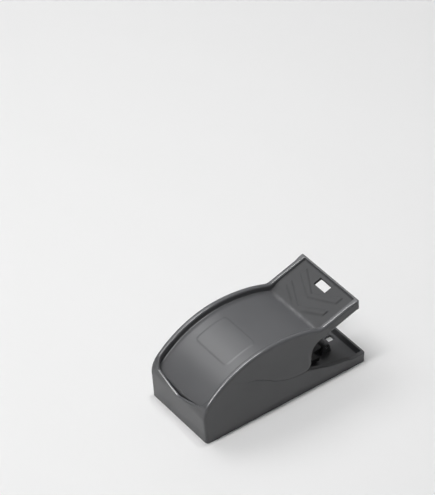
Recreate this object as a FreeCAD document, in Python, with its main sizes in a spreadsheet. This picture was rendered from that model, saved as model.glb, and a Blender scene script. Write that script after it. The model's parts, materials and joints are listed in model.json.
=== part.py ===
"""Snap mouse trap: a plastic clamshell whose sprung cover carries a wire kill bar and turns in the nose.

Lengths are millimetres. Every piece is drawn in stations: x from the front edge on the ground towards
the tail, y to the left and z up. Each piece is then placed by the datum, which puts the origin of the
part under the middle of its box.
"""
import FreeCAD, Part
import math
import os

import Sketcher

Vector = FreeCAD.Vector

SIZES = {
    # whole trap
    "length": 128.5,
    "width": 57.0,
    "height": 55.6,
    # side outline of the arch: nose arc, front arc and rear arc, which meet tangent
    "nose_bulge": 1.5,
    "nose_radius": 16.2,
    "crown_x": 52.3,
    "crown_z": 53.6,
    "front_radius": 68.0,
    "rear_radius": 99.0,
    "kink_x": 90.3,
    "kink_blend": 7.0,
    # handle
    "handle_end": 119.8,
    "handle_rake": 0.4,
    "handle_skirt": 7.0,
    "handle_recess": 2.1,
    "handle_edge": 1.6,
    "handle_join_x": 101.4,
    "handle_join_z": 42.3,
    "handle_window_x": 113.5,
    "handle_window_long": 6.4,
    "handle_window_wide": 11.0,
    # walls and recessed panel
    "wall": 2.0,
    "roof": 2.0,
    "rim": 4.0,
    "rim_round": 1.5,
    "rim_inner_round": 0.8,
    "recess": 4.2,
    "side_gap": 0.3,
    "tongue_x": 1.3,
    # seam between cover and base, from the rear corner of the flap to the rim
    "seam_gap": 0.25,
    "flap_x": 78.8,
    "flap_z": 17.8,
    "seam_low_x": 52.0,
    "seam_low_z": 24.4,
    "seam_low_radius": 46.0,
    "seam_mid_x": 31.8,
    "seam_mid_z": 34.7,
    "seam_mid_radius": 50.0,
    "seam_top_z": 40.9,
    "seam_top_radius": 75.0,
    # notch that leaves the mouth open behind the flap
    "notch_high_x": 90.0,
    "notch_high_z": 38.7,
    "notch_x": 82.1,
    "notch_mid_z": 29.5,
    "notch_low_z": 22.6,
    "notch_radius": 9.8,
    "flap_radius": 6.0,
    # lip of the nose wall
    "lip_apex_z": 23.0,
    "lip_side_y": 21.5,
    "lip_side_z": 27.0,
    "lip_end_z": 33.0,
    # base walls, floor and tail
    "floor": 2.0,
    "wall_rear_x": 82.9,
    "wall_rear_z": 16.6,
    "wall_fall_x": 97.6,
    "wall_fall_z": 11.4,
    "tail_flat": 12.9,
    "tail_rim_z": 7.1,
    "tail_wall": 1.6,
    "tail_rim": 3.0,
    "tail_round": 0.8,
    "tail_corner": 2.0,
    "tail_window_set": 6.6,
    "tail_window_long": 5.2,
    "tail_window_wide": 5.0,
    # cover hinge
    "hinge_x": 9.0,
    "hinge_drop": 14.032,
    "hinge_pin_radius": 1.5,
    "pin_fit": 0.05,
    "bore_fit": 0.08,
    "ear_radius": 4.0,
    "ear_slot": 2.7,
    "pin_end_gap": 0.15,
    "lug_radius": 3.3,
    "lug_wall_gap": 2.3,
    "lug_thick": 3.0,
    "gusset_x": 24.0,
    "gusset_low_z": 19.0,
    # hinge springs
    "spring_wire": 1.1,
    "spring_radius": 2.65,
    "spring_turns": 6,
    "spring_lug_gap": 1.9,
    "spring_long": 10.8,
    "spring_leg_x": 19.5,
    "spring_hook": 1.4,
    "spring_hole_fit": 0.15,
    "spring_foot_z": 13.0,
    "spring_post": 2.6,
    "spring_post_long": 2.4,
    "spring_post_gap": 0.1,
    # spacers on the hinge pin
    "spacer_wall": 0.7,
    "spacer_gap": 0.3,
    # sear arm of the cover
    "sear_half_width": 2.0,
    "sear_reach": 13.0,
    "sear_root": 3.3,
    "sear_angle": 75.8,
    "sear_tooth": 6.0,
    "sear_heel": 0.7,
    "sear_toe": 1.8,
    "sear_web_x": 3.3,
    # kill bar
    "bar_x": 68.0,
    "bar_z": 10.4,
    "bar_radius": 1.2,
    "bar_rim_gap": 4.5,
    "bar_bend": 4.0,
    "bar_depth": 5.5,
    "bar_boss_radius": 3.0,
    "bar_boss_z": 39.5,
    # trip pedal
    "pedal_hinge_set": 17.0,
    "pedal_hinge_z": 6.5,
    "pedal_pin_radius": 1.2,
    "pedal_hub": 2.4,
    "pedal_hub_y": 7.6,
    "pedal_lug": 1.8,
    "pedal_lug_gap": 0.3,
    "pedal_lug_foot": 4.0,
    "pedal_lug_top": 2.7,
    "pedal_half_width": 14.0,
    "pedal_front_x": 36.0,
    "pedal_low_z": 2.4,
    "pedal_plate": 1.6,
    "pedal_neck": 9.0,
    "pedal_edge": 1.4,
    "pedal_edge_height": 1.2,
    "pedal_groove": 0.5,
    "pedal_groove_pitch": 8.0,
    "stirrup_x": 32.6,
    "stirrup_half_width": 4.8,
    "stirrup_post": 1.5,
    "stirrup_lift": 0.8,
    "stirrup_bridge": 1.2,
    # bait cup
    "cup_x": 46.0,
    "cup_radius": 6.0,
    "cup_wall": 0.9,
    "cup_flange": 7.4,
    "cup_flange_thick": 0.8,
    "cup_bottom_z": 2.7,
    "cup_top_z": 8.8,
    "cup_fit": 0.15,
    "cup_seat_gap": 0.05,
    # latch
    "latch_x": 7.5,
    "latch_z": 5.0,
    "latch_pin_radius": 1.0,
    "latch_hub": 2.3,
    "latch_half_width": 2.5,
    "latch_arm": 2.0,
    "latch_arm_z": 4.3,
    "latch_end_x": 34.4,
    "finger_x": 15.2,
    "finger_long": 1.8,
    "finger_gap": 0.35,
    "latch_lug": 1.8,
    "latch_lug_gap": 0.3,
    "latch_lug_foot": 3.0,
    "latch_lug_top": 2.6,
    # latch spring
    "latch_spring_wire": 0.5,
    "latch_spring_hook": 0.8,
    "latch_spring_gap": 0.05,
    "latch_spring_foot": 1.1,
    "latch_spring_hole": 0.15,
    "latch_spring_turns": 2,
    "latch_spring_room": 3.0,
    "latch_spring_leg": 6.5,
    # shared by many features
    "overlap": 0.5,
    "clear_z": 70.0,
    "lug_chamfer": 0.7,
}


class Size:
    """A length with its number and its formula in the sheet, so that shapes and expressions agree."""

    def __init__(self, number, formula):
        self.number = float(number)
        self.formula = formula

    def join(self, other, sign, number):
        return Size(number, "(%s %s %s)" % (self.formula, sign, as_size(other).formula))

    def __add__(self, other):
        return self.join(other, "+", self.number + as_size(other).number)

    def __sub__(self, other):
        return self.join(other, "-", self.number - as_size(other).number)

    def __mul__(self, other):
        return self.join(other, "*", self.number * as_size(other).number)

    def __truediv__(self, other):
        return self.join(other, "/", self.number / as_size(other).number)

    def __neg__(self):
        return Size(-self.number, "(0 - %s)" % self.formula)

    def __radd__(self, other):
        return as_size(other) + self

    def __rsub__(self, other):
        return as_size(other) - self

    def __rmul__(self, other):
        return as_size(other) * self


def as_size(value):
    return value if isinstance(value, Size) else Size(value, "%.6f" % value)


def root(value):
    """The square root of a size."""
    return Size(math.sqrt(value.number), "sqrt(%s)" % value.formula)


def cosine(angle):
    return Size(math.cos(math.radians(angle.number)), "cos(%s * 1 deg)" % angle.formula)


def sine(angle):
    return Size(math.sin(math.radians(angle.number)), "sin(%s * 1 deg)" % angle.formula)


def circle_height(centre_x, centre_z, radius, x):
    """The height of the top of a circle at station x."""
    across = x - centre_x
    return centre_z + root(radius * radius - across * across)


doc = FreeCAD.newDocument("MouseTrap")
sheet = doc.addObject("Spreadsheet::Sheet", "Sizes")
for row, (word, number) in enumerate(SIZES.items(), start=1):
    sheet.set("A%d" % row, word)
    sheet.set("B%d" % row, str(number))
    sheet.setAlias("B%d" % row, word)
doc.recompute()


class Sizes:
    """The cells of the sheet by their words."""


s = Sizes()
for word, number in SIZES.items():
    setattr(s, word, Size(number, "Sizes." + word))

# worked out places

datum = s.length / 2 - s.nose_bulge
tail_end = s.length - s.nose_bulge
tail_x = tail_end - s.tail_flat
tail_window_x = tail_end - s.tail_window_set
pedal_hinge_x = tail_end - s.pedal_hinge_set
pedal_rear_x = pedal_hinge_x - s.pedal_neck
half_width = s.width / 2
inner_y = half_width - s.wall
rim_y = half_width - s.rim
slot_y = rim_y + s.side_gap
lug_outer_y = slot_y - s.lug_wall_gap
lug_inner_y = lug_outer_y - s.lug_thick
spring_outer_y = lug_inner_y - s.spring_lug_gap
spring_inner_y = spring_outer_y - s.spring_long
bar_half_span = rim_y - s.bar_rim_gap
nose_x = s.nose_radius - s.nose_bulge
front_z = s.crown_z - s.front_radius
hinge_z = circle_height(s.crown_x, front_z, s.front_radius, s.hinge_x) - s.hinge_drop
rear_z = s.crown_z - s.rear_radius
nose_reach = s.front_radius - s.nose_radius
nose_z = front_z + root(nose_reach * nose_reach - (s.crown_x - nose_x) * (s.crown_x - nose_x))
kink_z = circle_height(s.crown_x, rear_z, s.rear_radius, s.kink_x)
handle_slope = (s.height - kink_z) / (s.handle_end - s.kink_x)


def handle_line(x, drop):
    """The handle's top line at station x, lowered by drop."""
    return kink_z + handle_slope * (x - s.kink_x) - drop


def kink_blend_ends():
    """The ends of the small hollow arc that joins the rear arc to the handle's line."""
    slant = root(1 + handle_slope * handle_slope)
    off_line = (kink_z - rear_z - handle_slope * (s.kink_x - s.crown_x)) / slant + s.kink_blend
    reach = s.rear_radius + s.kink_blend
    along = root(reach * reach - off_line * off_line)
    across_x = (along - handle_slope * off_line) / slant
    across_z = (handle_slope * along + off_line) / slant
    share = s.rear_radius / reach
    on_arc = (s.crown_x + across_x * share, rear_z + across_z * share)
    on_line_x = s.crown_x + across_x + s.kink_blend * handle_slope / slant
    return on_arc, (on_line_x, handle_line(on_line_x, as_size(0)))


def nose_tangent(wall):
    """The point where the straight front from the ground meets the nose arc, moved in by the wall."""
    reach = nose_x * nose_x + nose_z * nose_z
    straight = root(reach - s.nose_radius * s.nose_radius)
    along_x = (nose_x * straight - nose_z * s.nose_radius) / reach
    along_z = (nose_z * straight + nose_x * s.nose_radius) / reach
    return along_x * straight + along_z * wall, along_z * straight - along_x * wall


def arch_tangent(wall):
    """The point where the nose arc meets the front arc, moved in by the wall."""
    away_x = (nose_x - s.crown_x) / nose_reach
    away_z = (nose_z - front_z) / nose_reach
    radius = s.front_radius - wall
    return s.crown_x + away_x * radius, front_z + away_z * radius


def front_arc_x(z, wall):
    """The station of the front arc, moved in by the wall, at height z."""
    radius = s.front_radius - wall
    up = z - front_z
    return s.crown_x - root(radius * radius - up * up)


# drawing helpers


def origin_plane(body, role):
    return next(part for part in body.Origin.OriginFeatures if part.Role == role)


def add_arc(sketch, start, end, radius, side):
    """The short arc from start to end; side is 1 where the centre lies to the left of the way."""
    half = (end - start) * 0.5
    normal = Vector(-half.y, half.x, 0).normalize() * side
    depth = math.sqrt(radius * radius - half.Length * half.Length)
    centre = start + half + normal * depth
    first, last = (start, end) if side > 0 else (end, start)
    first_angle = math.atan2(first.y - centre.y, first.x - centre.x)
    last_angle = math.atan2(last.y - centre.y, last.x - centre.x)
    if last_angle < first_angle:
        last_angle += 2 * math.pi
    circle = Part.Circle(centre, Vector(0, 0, 1), radius)
    edge = sketch.addGeometry(Part.ArcOfCircle(circle, first_angle, last_angle), False)
    return (edge, 1, 2) if side > 0 else (edge, 2, 1)


def add_line(sketch, start, end):
    return sketch.addGeometry(Part.LineSegment(start, end), False), 1, 2


def bind(thing, path, size):
    thing.setExpression(path, as_size(size).formula)


def dimension(sketch, kind, places, size):
    """One sketch dimension, bound to the sheet."""
    index = sketch.addConstraint(Sketcher.Constraint(kind, *places, as_size(size).number))
    bind(sketch, "Constraints[%d]" % index, size)


def new_sketch(body, name, role, level):
    """A sketch parallel to an origin plane; level is its place along the plane's own normal."""
    sketch = body.newObject("Sketcher::SketchObject", name)
    sketch.AttachmentSupport = [(origin_plane(body, role), "")]
    sketch.MapMode = "FlatFace"
    sketch.AttachmentOffset = FreeCAD.Placement(Vector(0, 0, as_size(level).number), FreeCAD.Rotation())
    bind(sketch, "AttachmentOffset.Base.z", level)
    return sketch


def draw_outline(sketch, corners):
    """A closed outline: a corner is (x, z), or (x, z, radius, side) where an arc leads to the next corner."""
    points = [Vector(as_size(c[0]).number, as_size(c[1]).number, 0) for c in corners]
    edges = []
    for i, corner in enumerate(corners):
        start = points[i]
        end = points[(i + 1) % len(points)]
        if len(corner) == 2:
            edges.append(add_line(sketch, start, end))
        else:
            edges.append(add_arc(sketch, start, end, as_size(corner[2]).number, corner[3]))
    for i, corner in enumerate(corners):
        edge, start_end, far_end = edges[i]
        follower, follower_start, _ = edges[(i + 1) % len(edges)]
        sketch.addConstraint(Sketcher.Constraint("Coincident", edge, far_end, follower, follower_start))
        dimension(sketch, "DistanceX", (-1, 1, edge, start_end), corner[0])
        dimension(sketch, "DistanceY", (-1, 1, edge, start_end), corner[1])
        if len(corner) == 4:
            dimension(sketch, "Radius", (edge,), corner[2])


def draw_circle(sketch, x, z, radius):
    centre = Vector(as_size(x).number, as_size(z).number, 0)
    edge = sketch.addGeometry(Part.Circle(centre, Vector(0, 0, 1), as_size(radius).number), False)
    dimension(sketch, "DistanceX", (-1, 1, edge, 3), x)
    dimension(sketch, "DistanceY", (-1, 1, edge, 3), z)
    dimension(sketch, "Radius", (edge,), radius)


def finish_feature(body, sketch, name, depth, cut):
    kind = "PartDesign::Pocket" if cut else "PartDesign::Pad"
    feature = body.newObject(kind, name)
    feature.Profile = sketch
    bind(feature, "Length", depth)
    feature.Refine = True
    body.Tip = feature
    return feature


def round_edges(body, name, radius, chosen):
    """Rounds the edges of the body so far whose boxes are chosen."""
    doc.recompute()
    base = body.Tip
    names = ["Edge%d" % (i + 1) for i, edge in enumerate(base.Shape.Edges) if chosen(edge.BoundBox)]
    feature = body.newObject("PartDesign::Fillet", name)
    feature.Base = (base, names)
    bind(feature, "Radius", radius)
    body.Tip = feature


def lies_at(box, y):
    """Whether an edge's box lies in the plane at y or in its mirror image."""
    return box.YLength < 1e-4 and abs(abs(box.YMin) - y.number) < 1e-4


def slab(body, name, corners, low, high, cut=False, circles=()):
    """Material, or a cut, between two planes of constant y, low and high, with the given side outline."""
    sketch = new_sketch(body, name + "Sketch", "XZ_Plane", -as_size(low if cut else high))
    if corners:
        draw_outline(sketch, corners)
    for x, z, radius in circles:
        draw_circle(sketch, x, z, radius)
    return finish_feature(body, sketch, name, as_size(high) - low, cut)


def pair(body, name, corners, inner, outer, cut=False, circles=()):
    """The same slab on the left, between y inner and outer, and mirrored on the right."""
    slab(body, name + "Left", corners, inner, outer, cut, circles)
    slab(body, name + "Right", corners, -as_size(outer), -as_size(inner), cut, circles)


def post(body, name, corners, low, high, cut=False, circles=()):
    """Material, or a cut, between two heights, with the given outline seen from above."""
    sketch = new_sketch(body, name + "Sketch", "XY_Plane", high if cut else low)
    if corners:
        draw_outline(sketch, corners)
    for x, y, radius in circles:
        draw_circle(sketch, x, y, radius)
    return finish_feature(body, sketch, name, as_size(high) - low, cut)


def rectangle(x_low, x_high, z_low, z_high):
    return [(x_low, z_low), (x_high, z_low), (x_high, z_high), (x_low, z_high)]


def rod(body, name, x, z, radius, low, high, cut=False):
    """A round bar, or bore, along y."""
    return slab(body, name, (), low, high, cut, [(x, z, radius)])


nodes = []


def new_body(label):
    body = doc.addObject("PartDesign::Body", label)
    body.Label = label
    body.AllowCompound = True
    bind(body, "Placement.Base.x", -datum)
    nodes.append(body)
    return body


# shared outlines


def seam_corners(drop):
    """The seam from the rear corner of the flap forward and up to the rim, lowered by drop."""
    top_z = s.seam_top_z - drop
    return [
        (s.flap_x, s.flap_z - drop, s.seam_low_radius, -1),
        (s.seam_low_x, s.seam_low_z - drop, s.seam_mid_radius, 1),
        (s.seam_mid_x, s.seam_mid_z - drop, s.seam_top_radius, 1),
        (front_arc_x(top_z, as_size(0)), top_z),
    ]


def roof_height(x, wall):
    """The height of the panel, or of its underside, over the front or the rear arc."""
    if x.number < s.crown_x.number:
        return circle_height(s.crown_x, front_z, s.front_radius - wall, x)
    return circle_height(s.crown_x, rear_z, s.rear_radius - wall, x)


def arch_band(x_low, x_high, deep_top, deep_bottom):
    """The band of the arch between two depths under its rims, from station x_low to x_high."""
    top_low = roof_height(x_low, deep_top)
    top_high = roof_height(x_high, deep_top)
    low_low = roof_height(x_low, deep_bottom)
    low_high = roof_height(x_high, deep_bottom)
    return [
        (x_low, low_low),
        (x_low, top_low, s.front_radius - deep_top, -1),
        (s.crown_x, s.crown_z - deep_top, s.rear_radius - deep_top, -1),
        (x_high, top_high),
        (x_high, low_high, s.rear_radius - deep_bottom, 1),
        (s.crown_x, s.crown_z - deep_bottom, s.front_radius - deep_bottom, 1),
    ]


under_roof = s.recess + s.roof
latch_spring_radius = (s.latch_arm_z + s.latch_arm + s.latch_spring_wire / 2 + s.latch_spring_gap
                       - s.latch_z)
latch_spring_start = s.latch_half_width + s.latch_lug_gap + s.latch_spring_wire / 2
latch_spring_end = latch_spring_start + s.latch_spring_room - s.latch_spring_wire - s.latch_lug_gap
handle_rear_x = s.handle_end + s.handle_rake
handle_low_z = s.height - s.handle_skirt


def make_base():
    """Nose, floor, lower side walls and tail in one moulding, open at the top and the rear."""
    body = new_body("base")
    straight_x, straight_z = nose_tangent(as_size(0))
    arch_x, arch_z = arch_tangent(as_size(0))
    seam = seam_corners(s.seam_gap)
    top = seam[-1]
    rise = [top]
    for previous, corner in zip(seam[-2::-1], seam[-1:0:-1]):
        rise[-1] = (corner[0], corner[1], previous[2], -previous[3])
        rise.append((previous[0], previous[1]))
    outline = [
        (as_size(0), as_size(0)),
        (straight_x, straight_z, s.nose_radius, -1),
        (arch_x, arch_z, s.front_radius, -1),
        *rise,
        (s.wall_rear_x, s.wall_rear_z),
        (s.wall_fall_x, s.wall_fall_z),
        (tail_x, s.tail_rim_z),
        (tail_end, s.tail_rim_z),
        (tail_end, as_size(0)),
    ]
    slab(body, "Walls", outline, -half_width, half_width)
    inner_straight_x, inner_straight_z = nose_tangent(s.wall)
    inner_arch_x, inner_arch_z = arch_tangent(s.wall)
    floor_x = inner_straight_x * s.floor / inner_straight_z + s.wall * (1 - s.floor / inner_straight_z)
    inner_top_x = front_arc_x(s.seam_top_z, s.wall)
    hollow = [
        (floor_x, s.floor),
        (inner_straight_x, inner_straight_z, s.nose_radius - s.wall, -1),
        (inner_arch_x, inner_arch_z, s.front_radius - s.wall, -1),
        (inner_top_x, s.seam_top_z),
        (inner_top_x, s.clear_z),
        (tail_end - s.tail_wall, s.clear_z),
        (tail_end - s.tail_wall, s.floor),
    ]
    slab(body, "Hollow", hollow, -slot_y, slot_y, cut=True)

    side_hollow = [
        (floor_x, s.floor),
        (inner_straight_x, inner_straight_z),
        (front_arc_x(inner_straight_z, under_roof), inner_straight_z, s.front_radius - under_roof, -1),
        (s.seam_mid_x, roof_height(s.seam_mid_x, under_roof)),
        (s.seam_mid_x, s.clear_z),
        (s.wall_rear_x, s.clear_z),
        (s.wall_rear_x, s.floor),
    ]
    pair(body, "SideHollow", side_hollow, slot_y - s.overlap, inner_y, cut=True)
    pair(body, "TailHollow", rectangle(s.wall_rear_x - 1, tail_end - s.tail_wall, s.floor, s.clear_z),
         slot_y - s.overlap, half_width - s.tail_rim, cut=True)

    lip = new_sketch(body, "LipSketch", "YZ_Plane", front_arc_x(s.seam_top_z, s.wall))
    draw_outline(lip, [
        (as_size(0), s.lip_apex_z), (s.lip_side_y, s.lip_side_z), (slot_y, s.lip_end_z),
        (slot_y, s.clear_z), (-slot_y, s.clear_z), (-slot_y, s.lip_end_z),
        (-s.lip_side_y, s.lip_side_z),
    ])
    finish_feature(body, lip, "Lip", s.length / 4, True)

    round_edges(body, "NoseRound", s.rim_round,
                lambda box: lies_at(box, half_width) and box.XMax < top[0].number + s.overlap.number
                and box.ZMax > s.overlap.number)
    round_edges(body, "TailCorners", s.tail_corner,
                lambda box: lies_at(box, half_width) and box.XLength < s.overlap.number
                and box.XMin > tail_x.number)
    round_edges(body, "TailRound", s.tail_round,
                lambda box: lies_at(box, half_width) and box.XMin > s.flap_x.number + s.overlap.number
                and box.ZMin > s.overlap.number)

    post(body, "TailWindow", rectangle(tail_window_x - s.tail_window_long / 2,
                                       tail_window_x + s.tail_window_long / 2,
                                       -s.tail_window_wide / 2, s.tail_window_wide / 2),
         as_size(-1), s.floor + 1, cut=True)

    # hinge ears on the side walls, each with a snap slot open to the rear
    ear = [(s.hinge_x, hinge_z, s.ear_radius)]
    pair(body, "Ear", (), slot_y, inner_y + s.overlap, circles=ear)
    bore = [(s.hinge_x, hinge_z, s.hinge_pin_radius + s.pin_fit)]
    pair(body, "EarBore", (), slot_y - s.overlap, inner_y, cut=True, circles=bore)
    slot = rectangle(s.hinge_x, s.hinge_x + s.ear_radius + 1, hinge_z - s.ear_slot / 2,
                     hinge_z + s.ear_slot / 2)
    pair(body, "EarSlot", slot, slot_y - s.overlap, inner_y, cut=True)

    # posts that the fixed legs of the hinge springs push against
    post_x = s.hinge_x + s.spring_radius + s.spring_wire / 2 + s.spring_post_gap
    spring_post = rectangle(post_x, post_x + s.spring_post_long, s.floor - s.overlap,
                            s.spring_foot_z + s.spring_post)
    pair(body, "SpringPost", spring_post, spring_inner_y - s.spring_post / 2,
         spring_inner_y + s.spring_post / 2)

    # lugs of the latch and of the pedal, each pair with a through bore
    latch_inner = s.latch_half_width + s.latch_lug_gap
    latch_left = latch_inner + s.latch_spring_room
    for name, low in (("Right", -latch_inner - s.latch_lug), ("Left", latch_left)):
        lug(body, "LatchLug" + name, s.latch_x, s.latch_z, s.latch_lug_foot, s.latch_lug_top,
            s.latch_pin_radius, low, low + s.latch_lug)
    foot_hole = [(s.latch_x - latch_spring_radius, latch_spring_end,
                  s.latch_spring_wire / 2 + s.latch_spring_hole)]
    post(body, "SpringFootHole", (), s.floor - s.latch_spring_foot - s.latch_spring_hole, s.floor + 1,
         cut=True, circles=foot_hole)
    pedal_inner = s.pedal_hub_y + s.pedal_lug_gap
    for name, low in (("Right", -pedal_inner - s.pedal_lug), ("Left", pedal_inner)):
        lug(body, "PedalLug" + name, pedal_hinge_x, s.pedal_hinge_z, s.pedal_lug_foot,
            s.pedal_lug_top, s.pedal_pin_radius, low, low + s.pedal_lug)
    return body


def lug(body, name, x, z, foot, top, pin_radius, low, high):
    """A tapered ear that stands on the floor, with a bore for its pin."""
    corners = [
        (x - foot, s.floor - s.overlap),
        (x + foot, s.floor - s.overlap),
        (x + top, z),
        (x + top * s.lug_chamfer, z + top * s.lug_chamfer),
        (x - top * s.lug_chamfer, z + top * s.lug_chamfer),
        (x - top, z),
    ]
    slab(body, name, corners, low, high)
    rod(body, name + "Bore", x, z, pin_radius + s.pin_fit, low, high, cut=True)


def make_cover():
    """Arch with its rims and recessed panel, side flaps and handle in one moulding."""
    body = new_body("cover")
    seam = seam_corners(as_size(0))
    blend_start, blend_end = kink_blend_ends()
    outline = [
        *seam[:-1],
        (seam[-1][0], seam[-1][1], s.front_radius, -1),
        (s.crown_x, s.crown_z, s.rear_radius, -1),
        (blend_start[0], blend_start[1], s.kink_blend, 1),
        blend_end,
        (s.handle_end, s.height),
        (handle_rear_x, handle_low_z),
        (s.handle_join_x, s.handle_join_z),
        (s.notch_high_x, s.notch_high_z, s.notch_radius, 1),
        (s.notch_x, s.notch_mid_z),
        (s.notch_x, s.notch_low_z, s.flap_radius, -1),
    ]
    pair(body, "Side", outline, rim_y, half_width)

    def along_top(box):
        return box.ZMin > s.seam_top_z.number - 0.1 and box.XMax < s.handle_end.number + 0.1

    round_edges(body, "RimRound", s.rim_round, lambda box: lies_at(box, half_width) and along_top(box))
    round_edges(body, "RimInnerRound", s.rim_inner_round, lambda box: lies_at(box, rim_y) and along_top(box))

    inside = [
        (s.seam_mid_x / 2, as_size(0)),
        (s.seam_mid_x / 2, roof_height(s.seam_mid_x / 2, under_roof), s.front_radius - under_roof, -1),
        (s.crown_x, s.crown_z - under_roof, s.rear_radius - under_roof, -1),
        (s.kink_x, roof_height(s.kink_x, under_roof)),
        (s.kink_x, handle_line(s.kink_x, s.handle_recess + s.roof)),
        (s.handle_end - s.handle_edge, handle_line(s.handle_end - s.handle_edge, s.handle_recess + s.roof)),
        (s.handle_end - s.handle_edge, as_size(0)),
    ]
    pair(body, "FlapHollow", inside, rim_y - s.overlap, inner_y, cut=True)

    panel = arch_band(s.tongue_x, s.kink_x, s.recess, under_roof)
    slab(body, "Panel", panel, -rim_y, rim_y)
    floor_start = s.kink_x - s.roof
    handle_floor = [
        (floor_start, handle_line(floor_start, s.handle_recess + s.roof)),
        (floor_start, handle_line(floor_start, s.handle_recess)),
        (s.handle_end, handle_line(s.handle_end, s.handle_recess)),
        (s.handle_end, handle_line(s.handle_end, s.handle_recess + s.roof)),
    ]
    slab(body, "HandleFloor", handle_floor, -rim_y, rim_y)
    rear_edge = [
        (s.handle_end - s.handle_edge, handle_low_z - s.handle_edge * handle_slope),
        (s.handle_end - s.handle_edge, handle_line(s.handle_end - s.handle_edge, as_size(0))),
        (s.handle_end, s.height),
        (handle_rear_x, handle_low_z),
    ]
    rear_reach = rim_y + s.rim_inner_round
    slab(body, "HandleRear", rear_edge, -rear_reach, rear_reach)
    post(body, "HandleWindow", rectangle(s.handle_window_x - s.handle_window_long / 2,
                                         s.handle_window_x + s.handle_window_long / 2,
                                         -s.handle_window_wide / 2, s.handle_window_wide / 2),
         s.notch_high_z, s.clear_z, cut=True)

    # hinge lugs with their gussets, the hole for the spring hook and the bore for the pin
    web = [
        (s.hinge_x - s.lug_radius, hinge_z),
        (s.hinge_x - s.lug_radius, roof_height(s.hinge_x - s.lug_radius, under_roof - s.roof / 2)),
        (s.hinge_x + s.lug_radius, roof_height(s.hinge_x + s.lug_radius, under_roof - s.roof / 2)),
        (s.gusset_x, roof_height(s.gusset_x, under_roof - s.roof / 2)),
        (s.gusset_x, hinge_z),
        (s.spring_leg_x + 1, s.gusset_low_z),
        (s.hinge_x, hinge_z - s.lug_radius),
    ]
    pair(body, "Gusset", web, lug_inner_y, lug_outer_y)
    boss = [(s.hinge_x, hinge_z, s.lug_radius)]
    pair(body, "LugBoss", (), lug_inner_y, lug_outer_y, circles=boss)
    hook_hole = [(s.spring_leg_x, hinge_z - s.spring_radius, s.spring_wire / 2 + s.spring_hole_fit)]
    pair(body, "HookHole", (), lug_inner_y, lug_outer_y, cut=True, circles=hook_hole)

    # sear arm: a boss on the pin, a web to the roof and a tooth that points down
    arm_top = [
        (s.hinge_x - s.sear_root, hinge_z),
        (s.hinge_x - s.sear_root, roof_height(s.hinge_x - s.sear_root, under_roof - s.roof / 2)),
        (s.hinge_x + s.sear_web_x, roof_height(s.hinge_x + s.sear_web_x, under_roof - s.roof / 2)),
        (s.hinge_x + s.sear_root, hinge_z),
    ]
    slab(body, "SearWeb", arm_top, -s.sear_half_width, s.sear_half_width)
    boss = [(s.hinge_x, hinge_z, s.sear_root)]
    slab(body, "SearBoss", (), -s.sear_half_width, s.sear_half_width, circles=boss)
    near = s.sear_angle
    far = s.sear_angle - s.sear_tooth
    tooth = [
        (s.hinge_x - s.sear_heel, hinge_z - s.sear_root / 2),
        (s.hinge_x + cosine(near) * s.sear_reach, hinge_z - sine(near) * s.sear_reach, s.sear_reach, 1),
        (s.hinge_x + cosine(far) * s.sear_reach, hinge_z - sine(far) * s.sear_reach),
        (s.hinge_x + s.sear_toe, hinge_z - s.sear_root / 2),
    ]
    slab(body, "SearTooth", tooth, -s.sear_half_width, s.sear_half_width)

    # sockets of the kill bar
    for name, side in (("Left", 1), ("Right", -1)):
        boss = [(s.bar_x, bar_half_span * side, s.bar_boss_radius)]
        post(body, "BarBoss" + name, (), s.bar_boss_z, roof_height(s.bar_x, under_roof - s.roof / 2),
             circles=boss)
        bore = [(s.bar_x, bar_half_span * side, s.bar_radius + s.pin_fit)]
        post(body, "BarBore" + name, (), s.bar_boss_z, s.bar_boss_z + s.bar_depth, cut=True, circles=bore)

    rod(body, "HingeBore", s.hinge_x, hinge_z, s.hinge_pin_radius + s.bore_fit, -lug_outer_y,
        lug_outer_y, cut=True)
    return body


def make_pin(label, x, z, radius, low, high):
    """A plain steel pin along y."""
    body = new_body(label)
    rod(body, "Rod", x, z, radius, low, high)
    return body


def make_spacer(label, low, high):
    """A short tube on the hinge pin between the sear boss and a spring."""
    body = new_body(label)
    inner = s.hinge_pin_radius + s.bore_fit
    rod(body, "Tube", s.hinge_x, hinge_z, inner + s.spacer_wall, low, high)
    rod(body, "Bore", s.hinge_x, hinge_z, inner, low, high, cut=True)
    return body


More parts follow.
